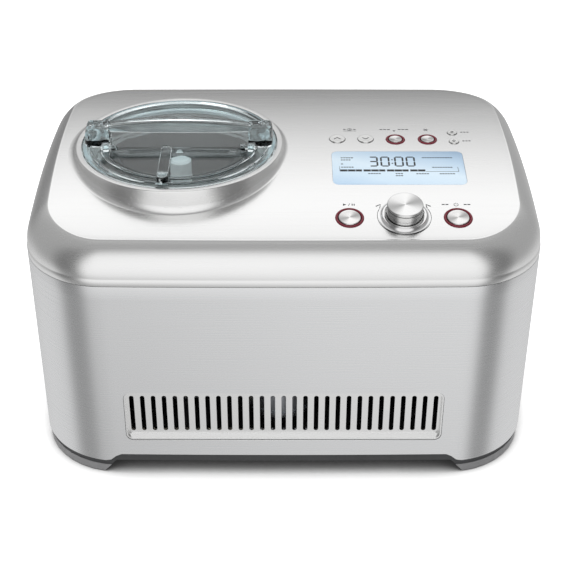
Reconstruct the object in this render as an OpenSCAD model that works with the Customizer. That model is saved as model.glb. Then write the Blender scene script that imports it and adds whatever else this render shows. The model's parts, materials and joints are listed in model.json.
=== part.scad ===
// Countertop ice cream maker with a built-in freezer.
// Left: freezing well, lift-out bowl, turning dasher and clear lid. Right: control panel above
// the compressor, fan and condenser. Millimetres, +Z up, the front faces -Y, and the origin is
// on the table below the middle of the housing.

/* [Housing] */
// Width of the housing across its bowed sides
body_w = 394; // [388:1:404]
// Depth of the housing from the bowed front to the back
body_d = 272; // [268:1:280]
// Height of the deck's crown above the table
deck_h = 225; // [222:1:230]
// How far the crown line lies behind the middle
crown_y = 33.6; // [30:0.1:38]
// Radius of the deck's arch, seen from the side
deck_r = 624; // [600:1:660]
// Plan radius of the two front corners
corner_front = 61; // [57:0.5:64]
// Plan radius of the two back corners
corner_back = 66.5; // [62:0.5:68]
// Bow of each side between its corners
side_bow = 4.46; // [3:0.01:5.5]
// Bow of the front and back between their corners
front_bow = 2.26; // [1:0.01:3]
// Width of the rounded shoulder between deck and side, in plan
shoulder_w = 19.1; // [17:0.1:21]
// Drop from the deck's crown to the seam between the top cover and the side wrap
seam_drop = 41.4; // [38:0.1:45]
// Dark reveal between the top cover and the side wrap
seam_reveal = 0.8; // [0.4:0.1:1.6]
// Wall of the top cover
cover_t = 2.5; // [2:0.1:3]
// Wall of the side wrap
wrap_t = 2; // [1.4:0.1:2.4]
// Gap left between fixed pieces that are assembled side by side
fit_gap = 0.3; // [0.2:0.05:0.4]

/* [Base and feet] */
// Height of the side wrap's lower edge between the corners
arch_z = 20; // [19:0.1:21]
// Height of the side wrap's lower edge at the corners
corner_z = 13; // [12:0.1:14]
// Clearance under the base between the feet
belly_z = 12.5; // [11:0.1:12.8]
// Length of the slope where the lower edge steps down to a corner
ramp = 11; // [9:0.5:13]
// Thickness of the base pan's floor
floor_t = 3; // [2.5:0.1:3.5]
// Height of the grey corner feet
foot_h = 7.5; // [6.5:0.1:8]
// Radius of the rubber pads under the feet
pad_r = 9; // [7:0.5:11]
// How far a rubber pad stands out below its foot
pad_drop = 1; // [0.8:0.1:1.5]

/* [Front grille] */
// Width of the grille opening
grille_w = 247; // [240:1:252]
// Height of the grille opening's lower edge
grille_z = 34.7; // [33:0.1:36]
// Height of the grille opening
grille_h = 46.8; // [45:0.1:49]
// Depth of the slotted plate behind the front
grille_recess = 5; // [4.4:0.1:6]
// Rise of the sloping lower lip
lip_rise = 3.3; // [2.5:0.1:4]
// Number of slots in the grille
slot_count = 29; // [21:2:29]
// Room between the outermost slots and the sides of the opening
slot_side_room = 3.96; // [3.5:0.01:9]
// Width of a slot
slot_w = 3.6; // [3:0.1:4.4]
// Length of a slot
slot_len = 34.2; // [31:0.1:35]

/* [Freezing well] */
// Distance of the well's axis to the left of the middle
well_left = 82; // [80:0.5:84]
// Distance of the well's axis in front of the middle
well_front = 5; // [2:0.5:8]
// Inner radius of the well
well_r = 68.5; // [67:0.1:69]
// Wall of the aluminium well
well_t = 1.5; // [1.2:0.1:1.8]
// Height of the well's floor above the table
well_floor_z = 75.5; // [74:0.1:78]
// How far the well's top flange lies below the collar's rim
well_drop = 24; // [23:0.1:26]
// Radius of the refrigerant tube wound round the well
coil_tube_r = 3; // [2.5:0.1:3.2]
// Turns of the refrigerant coil
coil_turns = 7; // [5:1:8]
// Room between the coil's upper end and the well's top flange
coil_room = 25; // [22:0.5:45]
// Outer radius of the insulation
foam_r = 92; // [90:0.5:94]
// Gap between the well's wall and the bowl
bowl_gap = 1.5; // [1:0.1:2]

/* [Bowl, dasher and lid] */
// Wall of the bowl
bowl_t = 1.5; // [1.2:0.1:1.8]
// Height of the tube in the middle of the bowl
bowl_tube_h = 50; // [44:1:56]
// Gap between the dasher's scrapers and the bowl
scraper_gap = 1; // [0.6:0.1:1.5]
// How far the dasher's round top lies below the collar's rim
dasher_drop = 16; // [14:0.5:19]
// Rise of the collar's flat rim above the deck's crown
rim_rise = 5; // [4:0.5:6]
// Outer radius of the collar's rim
rim_r = 80; // [79.5:0.1:80.5]
// Radius of the collar's rounded flank
flank_r = 28.8; // [28:0.1:30]
// Outer radius of the lid
lid_r = 75; // [74.4:0.1:75.2]
// Running gap between the lid and the collar
lid_gap = 0.6; // [0.4:0.1:0.8]
// Radius of the half-round ingredient opening
hatch_r = 58; // [55:0.5:59]
// Rise of the lid's handle above the collar's rim
handle_rise = 20; // [18:0.5:22]
// Thickness of the lid's handle, front to back
handle_t = 12; // [9:0.5:13]
// Radius of the bowl's wire handle
bail_r = 1.4; // [1.2:0.1:1.6]

/* [Control panel] */
// Travel of every push button
button_travel = 1.2; // [0.8:0.1:1.3]
// Running gap round every push button
button_gap = 0.35; // [0.3:0.05:0.5]
// How far a push button stands above the deck
button_proud = 0.9; // [0.5:0.1:1.4]
// Radius of the two plain timer buttons
timer_r = 6.3; // [5.8:0.1:6.8]
// Radius of the two small plain buttons
small_r = 3.85; // [3.5:0.05:4.2]
// Outer radius of the red rings in the upper row
ring_small_r = 7.85; // [7.5:0.05:8.2]
// Outer radius of the red rings in the lower row
ring_large_r = 10.75; // [10:0.05:11.2]
// Width of a red ring
ring_w = 2.1; // [1.6:0.1:2.6]
// Width of the display window
lcd_w = 102.5; // [98:0.5:104]
// Depth of the display window, front to back
lcd_d = 45.6; // [43:0.1:47]
// Radius of the dial
dial_r = 13.5; // [12.5:0.1:14]
// Height of the dial above the deck
dial_h = 12; // [10:0.1:14]
// Outer radius of the flared ring round the dial
dial_ring_r = 19.2; // [18:0.1:20]

/* [Drive and cooling] */
// Radius of the spindle
spindle_r = 5; // [4.5:0.1:5.4]
// Running clearance of a shaft in its bearing
bearing_gap = 0.05; // [0.02:0.01:0.09]
// Radius of the driven pulley's belt seat
driven_pulley_r = 45; // [40:0.5:48]
// Radius of the motor pulley's belt seat
motor_pulley_r = 9; // [8:0.5:10]
// Width of the drive belt
belt_w = 8; // [6:0.5:8.5]
// Radius of the drive motor's gearbox
motor_r = 24; // [22:0.5:25]
// Radius of the compressor's shell
compressor_r = 50; // [46:0.5:51]
// Radius of the fan's blades
fan_r = 44; // [40:0.5:45]
// Number of fan blades
fan_blades = 7; // [5:1:8]
// Number of condenser fins
fin_count = 15; // [9:1:16]
// Number of exhaust slots in the back
vent_count = 13; // [9:1:13]

/* [Hidden] */
$fn = 72;

// ---------- deck surface ----------
deck_centre_z = deck_h - deck_r;
function deck_z(y) = deck_centre_z + sqrt(deck_r * deck_r - (y - crown_y) * (y - crown_y));
// Angle by which the deck's normal leans to the front at y
function deck_lean(y) = -asin((y - crown_y) / deck_r);

module on_deck(x, y) {
    translate([x, y, deck_z(y)])
        rotate([deck_lean(y), 0, 0])
            children();
}

// ---------- plan outline: a rounded rectangle whose four sides bow outwards ----------
corner_steps = 9;
side_steps = 3;
front_steps = 4;
half_w = body_w / 2;
half_d = body_d / 2;
seam_z = deck_h - seam_drop;
rim_z = deck_h + rim_rise;
well_top_z = rim_z - well_drop;

function bow(p) = [
    p[0] * (1 - side_bow / half_w * pow(p[1] / half_d, 2)),
    p[1] * (1 - front_bow / half_d * pow(p[0] / half_w, 2))
];
function arc_points(cx, cy, r, start) = [
    for (i = [0:corner_steps])
        let (a = start + 90 * i / corner_steps)
            [cx + r * cos(a), cy + r * sin(a)]
];
// Right half of the outline, from the middle of the front to the middle of the back
function right_half(inset) =
    let (
        x = half_w - inset,
        y = half_d - inset,
        rf = corner_front - inset,
        rb = corner_back - inset
    )
    concat(
        [for (i = [0:front_steps - 1]) [(x - rf) * i / front_steps, -y]],
        arc_points(x - rf, rf - y, rf, -90),
        [for (i = [1:side_steps - 1]) [x, rf - y + (2 * y - rf - rb) * i / side_steps]],
        arc_points(x - rb, y - rb, rb, 0),
        [for (i = [1:front_steps]) [(x - rb) * (1 - i / front_steps), y]]
    );
function plan(inset) =
    let (right = [for (p = right_half(inset)) bow(p)], last = len(right) - 1)
    concat(right, [for (i = [last - 1:-1:1]) [-right[i][0], right[i][1]]]);

module plan_prism(inset, z0, z1) {
    translate([0, 0, z0])
        linear_extrude(z1 - z0)
            polygon(plan(inset));
}

module rounded_rect(w, d, r) {
    translate([-w / 2 + r, -d / 2])
        square([w - 2 * r, d]);
    translate([-w / 2, -d / 2 + r])
        square([w, d - 2 * r]);
    for (x = [-1, 1], y = [-1, 1])
        translate([x * (w / 2 - r), y * (d / 2 - r)])
            circle(r = r);
}

module stadium(w, h) {
    square([w, h - w], center = true);
    for (side = [-1, 1])
        translate([0, side * (h - w) / 2])
            circle(d = w, $fn = 24);
}

module slot_row(count, pitch, w, h) {
    for (i = [0:count - 1])
        translate([(i - (count - 1) / 2) * pitch, 0])
            stadium(w, h);
}

// A straight bar with ball ends buried in what it joins
module pipe(points, r) {
    for (i = [0:len(points) - 2]) {
        step = points[i + 1] - points[i];
        translate(points[i])
            rotate([0, acos(step[2] / norm(step)), atan2(step[1], step[0])])
                cylinder(r = r, h = norm(step), $fn = 24);
    }
    for (i = [1:1:len(points) - 2])
        translate(points[i])
            sphere(r = r * joint_swell, $fn = 24);
}
joint_swell = 1.2;

// Path through the given points whose bends are rounded within the given reach
bend_steps = 4;
function unit(v) = v / norm(v);
function bend(a, b, c, reach) =
    let (
        room = min(reach, norm(a - b) * 0.45, norm(c - b) * 0.45),
        p = b + unit(a - b) * room,
        q = b + unit(c - b) * room
    )
    [for (i = [0:bend_steps]) let (t = i / bend_steps) p * pow(1 - t, 2) + 2 * b * t * (1 - t) + q * t * t];
function rounded_path(points, reach) = concat(
    [points[0]],
    [for (i = [1:1:len(points) - 2]) each bend(points[i - 1], points[i], points[i + 1], reach)],
    [points[len(points) - 1]]
);

// A bent tube swept along a path; the leaning vector only fixes how its rings are turned
tube_sides = 8;
tube_lean = [0.31, 0.22, -0.92];
module bent_tube(path, r) {
    n = len(path);
    rings = [
        for (i = [0:n - 1])
            let (
                ahead = unit(path[min(i + 1, n - 1)] - path[max(i - 1, 0)]),
                across = unit(cross(ahead, tube_lean)),
                up = cross(ahead, across)
            )
            for (s = [0:tube_sides - 1])
                path[i] + r * (cos(360 * s / tube_sides) * across + sin(360 * s / tube_sides) * up)
    ];
    polyhedron(
        points = rings,
        faces = concat(
            [[for (s = [0:tube_sides - 1]) s]],
            [[for (s = [tube_sides - 1:-1:0]) (n - 1) * tube_sides + s]],
            [
                for (i = [0:n - 2], s = [0:tube_sides - 1])
                    let (a = i * tube_sides + s, b = i * tube_sides + (s + 1) % tube_sides)
                        [a, a + tube_sides, b + tube_sides, b]
            ]
        )
    );
}

// ---------- places of the controls on the deck ----------
// The panel keeps its distance from the right side, and its lower row from the front
panel_side = 108;
panel_x = half_w - panel_side;
timer_y = 10.3;
timer_up_left = 46.2;
up_x = panel_x - timer_up_left;
timer_down_left = 23.6;
down_x = panel_x - timer_down_left;
program_x = panel_x + 0.2;
ring_row_pitch = 25.6;
keep_cool_x = program_x + ring_row_pitch;
ring_row_y = 9.6;
small_right = 46.7;
small_x = panel_x + small_right;
small_front_y = 6.2;
small_pitch = 14.5;
small_back_y = small_front_y + small_pitch;
start_left = 40.4;
start_x = panel_x - start_left;
power_right = 39.7;
power_x = panel_x + power_right;
lower_row_front = 43;
lower_row_y = lower_row_front - half_d;
dial_front = 44.5;
dial_x = panel_x;
dial_y = dial_front - half_d;
lcd_x = panel_x - 0.25;
lcd_y = -31.9;
lcd_corner = 5;
seat_gap = 0.1;
shaft_r = 3;
bush_r = 4.5;

// ---------- top cover: seam, convex shoulder and arched deck as one closed skin ----------
shoulder_rows = 6;
function bezier(a, b, c, d, t) =
    a * pow(1 - t, 3) + 3 * b * t * pow(1 - t, 2) + 3 * c * t * t * (1 - t) + d * pow(t, 3);
// Share of the shoulder's width and height at step t, from the seam up to the deck's edge
function shoulder_in(t) = bezier(0, 0, 0.489, 1, t);
function shoulder_up(t) = bezier(0, 0.5, 0.821, 1, t);

module cover_skin(inset, drop, low) {
    edge = plan(shoulder_w + inset);
    n = len(edge);
    half = n / 2;
    foot = [for (p = plan(inset)) [p[0], p[1], low]];
    rows = [
        for (k = [0:shoulder_rows])
            let (t = k / shoulder_rows, ring = plan(inset + shoulder_w * shoulder_in(t)))
                for (i = [0:n - 1])
                    let (top = deck_z(edge[i][1]) - drop)
                        [ring[i][0], ring[i][1], seam_z + (top - seam_z) * shoulder_up(t)]
    ];
    last = (shoulder_rows + 1) * n;
    polyhedron(
        points = concat(foot, rows),
        faces = concat(
            [[for (i = [0:n - 1]) i]],
            [
                for (k = [0:shoulder_rows], i = [0:n - 1])
                    let (a = k * n + i, b = k * n + (i + 1) % n)
                        [a, a + n, b + n, b]
            ],
            [[last, last + n - 1, last + 1]],
            [
                for (i = [1:half - 2])
                    [last + i, last + n - i, last + n - i - 1, last + i + 1]
            ],
            [[last + half - 1, last + half + 1, last + half]]
        )
    );
}

post_side = 39;
post_back = 40;
post_x = half_w - post_side;
post_y = half_d - post_back;
post_r = 4.5;
screw_r = 1.5;
screw_hole_r = 1.9;
screw_head_r = 3;
screw_head_h = 2;
screw_bite = 12;
base_floor_z = belly_z + floor_t;
sleeve_r = rim_r - 2;
board_drop = 12.4;
boss_r = 2.5;
board_boss_x = 54.5;
board_y = -15;
board_boss_y = 26;
dial_boss_x = 24;

module corners() {
    for (x = [-post_x, post_x], y = [-post_y, post_y])
        translate([x, y, 0])
            children();
}

module deck_bore(x, y, r) {
    on_deck(x, y)
        translate([0, 0, -cover_t * 3])
            cylinder(r = r, h = cover_t * 5);
}

// Boss above a board whose plane is the deck's tangent at x, y, at a distance back along it
module board_boss(x, y, back = 0) {
    sag = back * back / (2 * deck_r);
    on_deck(x, y)
        translate([0, back, -board_drop + fit_gap])
            cylinder(r = boss_r, h = board_drop - fit_gap - cover_t / 2 - sag, $fn = 24);
}

module top_cover() {
    color([0.78, 0.78, 0.77])
    difference() {
        union() {
            difference() {
                cover_skin(0, 0, seam_z);
                cover_skin(cover_t, cover_t, seam_z - 1);
            }
            for (x = [-post_x, post_x], y = [-post_y, post_y])
                translate([x, y, base_floor_z + fit_gap])
                    cylinder(r = post_r, h = deck_z(y) - cover_t / 2 - base_floor_z - fit_gap);
            for (x = [-board_boss_x, board_boss_x], back = [-board_boss_y * 1.6, 11])
                board_boss(lcd_x + x, board_y, back);
            for (x = [-dial_boss_x, dial_boss_x])
                board_boss(dial_x + x, dial_y);
        }
        at_well()
            translate([0, 0, seam_z])
                cylinder(r = sleeve_r + fit_gap, h = deck_h);
        on_deck(lcd_x, lcd_y)
            translate([0, 0, -cover_t * 2])
                linear_extrude(cover_t * 4)
                    rounded_rect(lcd_w + 2 * seat_gap, lcd_d + 2 * seat_gap, lcd_corner);
        for (x = [up_x, down_x])
            deck_bore(x, timer_y, timer_r + button_gap);
        for (x = [program_x, keep_cool_x])
            deck_bore(x, ring_row_y, ring_small_r + seat_gap);
        for (y = [small_front_y, small_back_y])
            deck_bore(small_x, y, small_r + button_gap);
        for (x = [start_x, power_x])
            deck_bore(x, lower_row_y, ring_large_r + seat_gap);
        deck_bore(dial_x, dial_y, bush_r + seat_gap);
        corners()
            cylinder(r = screw_r, h = base_floor_z + screw_bite + 3);
    }
}

// ---------- side wrap, grille and base ----------
arch_setback = 7;
arch_half_x = half_w - corner_front - arch_setback;
arch_half_y = half_d - corner_back - arch_setback;
belly_offset = 4;
grille_corner = 6;
grille_mid_z = grille_z + grille_h / 2;
wrap_top_z = seam_z - seam_reveal;

// Profile of the raised edge between two feet: flat in the middle, sloping down at both ends
module arch_outline(half, z_mid, z_end, low) {
    polygon([
        [-half - ramp, low], [-half - ramp, z_end], [-half, z_mid],
        [half, z_mid], [half + ramp, z_end], [half + ramp, low]
    ]);
}

module both_arches(offset_out, z_mid, z_end, low) {
    rotate([90, 0, 0])
        linear_extrude(body_d * 2, center = true)
            arch_outline(arch_half_x + offset_out, z_mid, z_end, low);
    rotate([90, 0, 90])
        linear_extrude(body_w * 2, center = true)
            arch_outline(arch_half_y + offset_out, z_mid, z_end, low);
}

module belly_cut() {
    both_arches(belly_offset, belly_z, 0, -ramp);
}

// Exhaust slots in the back, opposite the condenser, and the entry of the power cord
vent_pitch = 8.4;
vent_w = 3.6;
vent_len = 76;
plant_side = 101;
plant_x = half_w - plant_side;
plant_z = 82;
gland_side = 67;
gland_x = gland_side - half_w;
gland_z = 45;
gland_r = 9;
cord_hole_r = 3.8;

module back_cut(x, z) {
    translate([x, half_d, z])
        rotate([90, 0, 0])
            linear_extrude(wrap_t * 12, center = true)
                children();
}

module side_wrap() {
    color([0.72, 0.73, 0.74])
    difference() {
        plan_prism(0, corner_z, wrap_top_z);
        plan_prism(wrap_t, 0, deck_h);
        both_arches(0, arch_z, corner_z, 0);
        translate([0, -half_d, grille_mid_z])
            rotate([90, 0, 0])
                linear_extrude(wrap_t * 12, center = true)
                    rounded_rect(grille_w, grille_h, grille_corner);
        back_cut(plant_x, plant_z)
            slot_row(vent_count, vent_pitch, vent_w, vent_len);
        back_cut(gland_x, gland_z)
            circle(r = gland_r + seat_gap);
    }
}

// The grille's frame stands just behind the bowed wall at the ends of the opening
grille_plate_t = 2.5;
grille_front_y = -half_d + front_bow * pow(grille_w / body_w, 2) + 0.4;
grille_plate_y = -half_d + grille_recess;
grille_rim = 1.4;
grille_flange = 5;
grille_flange_y = -half_d + wrap_t + front_bow + fit_gap;
slot_lip_room = 3.2;
slot_mid_z = grille_z + lip_rise + slot_lip_room + slot_len / 2;
slot_pitch = (grille_w - slot_w - 2 * slot_side_room) / (slot_count - 1);

// A sheet in the shape of the opening, from y to y + t, grown by a margin
module grille_sheet(y, t, grow) {
    translate([0, y + t, grille_mid_z])
        rotate([90, 0, 0])
            linear_extrude(t)
                rounded_rect(grille_w + 2 * grow, grille_h + 2 * grow, grille_corner + min(grow, 0));
}

module grille_lip() {
    intersection() {
        grille_sheet(grille_front_y, grille_plate_y - grille_front_y + 1, -fit_gap);
        rotate([90, 0, 90])
            linear_extrude(grille_w, center = true)
                polygon([
                    [grille_front_y, grille_z],
                    [grille_plate_y + 1, grille_z],
                    [grille_plate_y + 1, grille_z + lip_rise],
                    [grille_plate_y, grille_z + lip_rise],
                    [grille_front_y, grille_z + 0.8]
                ]);
    }
}

module front_grille() {
    color([0.76, 0.76, 0.75])
    difference() {
        union() {
            difference() {
                grille_sheet(grille_front_y, grille_plate_y - grille_front_y + grille_plate_t, -fit_gap);
                grille_sheet(grille_front_y - 1, grille_plate_y - grille_front_y + 1, -grille_rim);
            }
            grille_lip();
            // flange behind the wall, by which the grille is held
            difference() {
                grille_sheet(grille_flange_y, grille_plate_t, grille_flange);
                grille_sheet(grille_flange_y - 1, grille_plate_t + 2, -grille_rim);
            }
        }
        translate([0, grille_plate_y, slot_mid_z])
            rotate([90, 0, 0])
                linear_extrude(grille_plate_t * 6, center = true)
                    slot_row(slot_count, slot_pitch, slot_w, slot_len);
    }
}

skirt_inset = 2;
foot_inset = 1.4;
pan_wall = 2.5;
pan_rim_z = min(arch_z + 10, grille_z - grille_flange - fit_gap);
pad_t = 3;
foot_top_z = foot_h;

// Outer skirt of the pan, whose upper edge follows the side wrap's lower edge
module pan_skirt() {
    intersection() {
        plan_prism(skirt_inset, foot_top_z, arch_z);
        union() {
            plan_prism(0, foot_top_z, corner_z - fit_gap);
            both_arches(0, arch_z - fit_gap, corner_z - fit_gap, foot_top_z);
        }
    }
}

module base_pan() {
    color([0.28, 0.28, 0.29])
    difference() {
        union() {
            difference() {
                union() {
                    pan_skirt();
                    plan_prism(wrap_t + fit_gap, belly_z, pan_rim_z);
                }
                plan_prism(wrap_t + fit_gap + pan_wall, base_floor_z, deck_h);
            }
            // thrust boss below the spindle
            at_well()
                translate([0, 0, belly_z + 1])
                    cylinder(r = spindle_r + 4, h = floor_t + 7);
            // guides that hold the upright power board
            for (y = power_board_ys)
                translate([power_board_x - 3, y - 3, belly_z + 1])
                    cube([6, 6, floor_t + 9]);
        }
        belly_cut();
        at_well()
            translate([0, 0, base_floor_z])
                cylinder(r = spindle_r + bearing_gap, h = deck_h);
        for (y = power_board_ys)
            translate([power_board_x - pcb_t / 2 - seat_gap, y - 4, base_floor_z])
                cube([pcb_t + 2 * seat_gap, 8, deck_h]);
        // air slots below the compressor
        translate([compressor_x, compressor_y, 0])
            linear_extrude(deck_h)
                slot_row(7, 10, 4, 54);
        corners()
            cylinder(r = screw_hole_r, h = deck_h);
    }
}

module corner_feet() {
    color([0.48, 0.48, 0.49])
    difference() {
        plan_prism(foot_inset, pad_drop, foot_top_z);
        belly_cut();
        corners()
            union() {
                cylinder(r = pad_r + seat_gap, h = pad_t + seat_gap);
                cylinder(r = screw_head_r + seat_gap, h = pad_t + screw_head_h + 2 * seat_gap);
                cylinder(r = screw_hole_r, h = foot_top_z + 1);
            }
    }
}

module foot_pads() {
    color([0.12, 0.12, 0.12])
    corners()
        cylinder(r = pad_r, h = pad_t);
}

module housing_screws() {
    color([0.6, 0.6, 0.62])
    corners()
        translate([0, 0, pad_t + seat_gap]) {
            cylinder(r = screw_head_r, h = screw_head_h);
            cylinder(r = screw_r, h = base_floor_z + screw_bite - pad_t);
        }
}

// ---------- freezing well ----------
well_x = -well_left;
well_y = -well_front;
well_outer = well_r + well_t;
bearing_wall = 6;
bearing_r = spindle_r + bearing_wall;
bearing_flange = 8;
bearing_flange_t = 3;
bearing_head = 0.8;
flange_t = 1.5;
flange_r = sleeve_r - 1;
lid_seat_r = lid_r + lid_gap;
collar_bore_r = 71.5;
seat_ledge_z = rim_z - 10;
coil_segments = 24;
coil_r = (well_outer + coil_tube_r + fit_gap) / cos(180 / coil_segments);
coil_z = well_floor_z + 14.5;
foam_bore_r = coil_r + coil_tube_r + fit_gap;
frame_z = 44;
frame_t = 4;
frame_top = frame_z + frame_t;
frame_r = foam_r - 2;
leg_r = 5;
leg_reach = 82;
rest_pad_h = 1.9;

module at_well() {
    translate([well_x, well_y, 0])
        children();
}

// Flank of the collar: an arc that meets the rim's outer edge and drops steeply to the deck
flank_start = 52.7;
flank_end = 4;
flank_steps = 7;
trim_half = 105;
trim_steps = 7;
flank_x = rim_r - flank_r * cos(flank_start);
flank_z = rim_z - flank_r * sin(flank_start);

module bowl_collar() {
    color([0.7, 0.7, 0.69])
    at_well() {
        // sleeve with the lid's seat, down through the deck to the well's flange
        rotate_extrude()
            polygon([
                [collar_bore_r, well_top_z + fit_gap],
                [sleeve_r, well_top_z + fit_gap],
                [sleeve_r, rim_z],
                [lid_seat_r + 0.5, rim_z],
                [lid_seat_r, rim_z - 0.5],
                [lid_seat_r, seat_ledge_z],
                [collar_bore_r, seat_ledge_z]
            ]);
        // flared flank, trimmed to the deck's arch
        difference() {
            rotate_extrude()
                polygon(concat(
                    [
                        [sleeve_r - 0.8, rim_z], [sleeve_r - 0.8, seam_z + 10],
                        [flank_x + flank_r, seam_z + 10]
                    ],
                    [
                        for (i = [0:flank_steps])
                            let (a = flank_end + (flank_start - flank_end) * i / flank_steps)
                                [flank_x + flank_r * cos(a), flank_z + flank_r * sin(a)]
                    ]
                ));
            rotate([90, 0, 90])
                linear_extrude(rim_r * 4, center = true)
                    polygon(concat(
                        [
                            for (i = [-trim_steps:trim_steps])
                                let (y = trim_half * i / trim_steps)
                                    [y, deck_z(well_y + y) + seat_gap]
                        ],
                        [[trim_half, 0], [-trim_half, 0]]
                    ));
        }
    }
}

module cold_well() {
    color([0.8, 0.81, 0.82])
    at_well() {
        rotate_extrude()
            polygon([
                [bearing_r + seat_gap, well_floor_z - well_t],
                [well_outer, well_floor_z - well_t],
                [well_outer, well_top_z - flange_t],
                [flange_r, well_top_z - flange_t],
                [flange_r, well_top_z],
                [well_r, well_top_z],
                [well_r, well_floor_z],
                [bearing_r + seat_gap, well_floor_z]
            ]);
        for (a = [30, 150, 270])
            rotate(a)
                translate([well_r * 0.7, 0, well_floor_z - well_t / 2])
                    cylinder(r = 5, h = rest_pad_h + well_t / 2, $fn = 32);
    }
}

coil_top_z = well_top_z - coil_room;
coil_pitch = (coil_top_z - coil_z) / coil_turns;
coil_tail_r = foam_r + 3;
coil_bend = 8;
helix = [
    for (k = [0:coil_turns * coil_segments])
        let (a = 360 * k / coil_segments)
            [coil_r * cos(a), coil_r * sin(a), coil_z + coil_pitch * k / coil_segments]
];
helix_last = len(helix) - 1;

module evaporator_coil() {
    low_tail = [coil_tail_r, 0, coil_z];
    high_tail = [coil_tail_r, 0, coil_top_z];
    color([0.72, 0.45, 0.3])
    at_well()
        bent_tube(
            concat(
                [low_tail],
                bend(low_tail, helix[0], helix[1], coil_bend),
                [for (i = [1:helix_last - 1]) helix[i]],
                bend(helix[helix_last - 1], helix[helix_last], high_tail, coil_bend),
                [high_tail]
            ),
            coil_tube_r
        );
}

module insulation() {
    color([0.9, 0.88, 0.8])
    at_well()
        difference() {
            translate([0, 0, frame_top])
                cylinder(r = foam_r, h = well_top_z - flange_t - fit_gap - frame_top);
            translate([0, 0, well_floor_z - well_t - seat_gap])
                cylinder(r = foam_bore_r, h = deck_h);
            cylinder(r = bearing_r + seat_gap, h = deck_h);
            for (z = [coil_z, coil_top_z])
                translate([coil_r, 0, z])
                    rotate([0, 90, 0])
                        cylinder(r = coil_tube_r + fit_gap, h = foam_r, $fn = 24);
        }
}

// ---------- drive ----------
motor_angle = -48;
motor_reach = foam_r + motor_r + 3;
motor_x = well_x + motor_reach * cos(motor_angle);
motor_y = well_y + motor_reach * sin(motor_angle);
belt_t = 1.5;
belt_lift = 3.5;
pulley_hub = 6;
pulley_rim = 4;
pulley_web_t = 3;
pulley_flange = 3;
pulley_flange_t = 1.5;
pulley_seat_h = belt_w + 2 * fit_gap;
pulley_h = pulley_seat_h + 2 * pulley_flange_t;
pulley_z = frame_z - 4.5 - pulley_h;
bowl_floor_z = well_floor_z + rest_pad_h + fit_gap;
bowl_tube_top = bowl_floor_z + bowl_tube_h;
drive_hex = 8;
drive_hex_h = 12;
hex_shoulder = 1;
gearbox_h = 16;
can_h = 42;

module at_motor() {
    translate([motor_x, motor_y, 0])
        children();
}

module well_frame() {
    color([0.55, 0.57, 0.6])
    difference() {
        union() {
            at_well() {
                translate([0, 0, frame_z])
                    cylinder(r = frame_r, h = frame_t);
                for (a = [0:90:270])
                    rotate(a)
                        translate([leg_reach, 0, base_floor_z])
                            cylinder(r = leg_r, h = frame_z - base_floor_z + 1, $fn = 32);
                rotate(motor_angle)
                    translate([foam_r / 2, -motor_r, frame_z])
                        cube([motor_reach - foam_r / 2, 2 * motor_r, frame_t]);
            }
            at_motor()
                translate([0, 0, frame_z])
                    cylinder(r = motor_r + 2, h = frame_t);
        }
        at_well()
            cylinder(r = bearing_r + seat_gap, h = deck_h);
        at_motor()
            cylinder(r = shaft_r + 3, h = deck_h);
    }
}

module spindle_bearing() {
    color([0.85, 0.85, 0.83])
    at_well()
        difference() {
            union() {
                translate([0, 0, frame_z - bearing_flange_t])
                    cylinder(r = bearing_r + bearing_flange, h = bearing_flange_t);
                translate([0, 0, frame_z - bearing_flange_t])
                    cylinder(r = bearing_r, h = well_floor_z + bearing_head - frame_z + bearing_flange_t);
            }
            cylinder(r = spindle_r + bearing_gap, h = deck_h);
        }
}

module spindle_shaft() {
    color([0.7, 0.71, 0.73])
    at_well() {
        translate([0, 0, base_floor_z + fit_gap])
            cylinder(r = spindle_r, h = bowl_tube_top + hex_shoulder - base_floor_z - fit_gap);
        translate([0, 0, bowl_tube_top])
            cylinder(d = drive_hex / cos(30), h = drive_hex_h, $fn = 6);
    }
}

// Flanged pulley: rim, web with round holes, hub, and a bore that grips its shaft
module pulley(seat_r, hub_r, bore_r, holes) {
    hole_r = (seat_r - hub_r - pulley_rim) / 2 - pulley_web_t;
    difference() {
        union() {
            difference() {
                union() {
                    cylinder(r = seat_r, h = pulley_h);
                    for (z = [0, pulley_h - pulley_flange_t])
                        translate([0, 0, z])
                            cylinder(r = seat_r + pulley_flange, h = pulley_flange_t);
                }
                if (holes > 0)
                    for (z = [-1, (pulley_h + pulley_web_t) / 2])
                        translate([0, 0, z])
                            cylinder(r = seat_r - pulley_rim, h = (pulley_h - pulley_web_t) / 2 + 1);
            }
            cylinder(r = hub_r, h = pulley_h);
        }
        translate([0, 0, -1])
            cylinder(r = bore_r, h = pulley_h + 2);
        if (holes > 0)
            for (i = [0:holes - 1])
                rotate(360 * i / holes)
                    translate([(seat_r - pulley_rim + hub_r) / 2, 0, -1])
                        cylinder(r = hole_r, h = pulley_h + 2, $fn = 32);
    }
}

module driven_pulley() {
    color([0.2, 0.2, 0.22])
    at_well()
        translate([0, 0, pulley_z])
            pulley(driven_pulley_r, spindle_r + pulley_hub, spindle_r, 6);
}

module motor_pulley() {
    color([0.75, 0.75, 0.72])
    at_motor()
        translate([0, 0, pulley_z])
            pulley(motor_pulley_r, motor_pulley_r, shaft_r, 0);
}

module belt_loop(grow) {
    hull() {
        at_well()
            circle(r = driven_pulley_r + grow, $fn = 64);
        at_motor()
            circle(r = motor_pulley_r + grow, $fn = 32);
    }
}

module drive_belt() {
    color([0.1, 0.1, 0.1])
    translate([0, 0, pulley_z + pulley_flange_t + fit_gap])
        linear_extrude(belt_w)
            difference() {
                belt_loop(fit_gap + belt_t);
                belt_loop(fit_gap);
            }
}

module motor_shaft() {
    color([0.7, 0.71, 0.73])
    at_motor()
        translate([0, 0, pulley_z - 2])
            cylinder(r = shaft_r, h = frame_top + gearbox_h - 2 - pulley_z);
}

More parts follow.
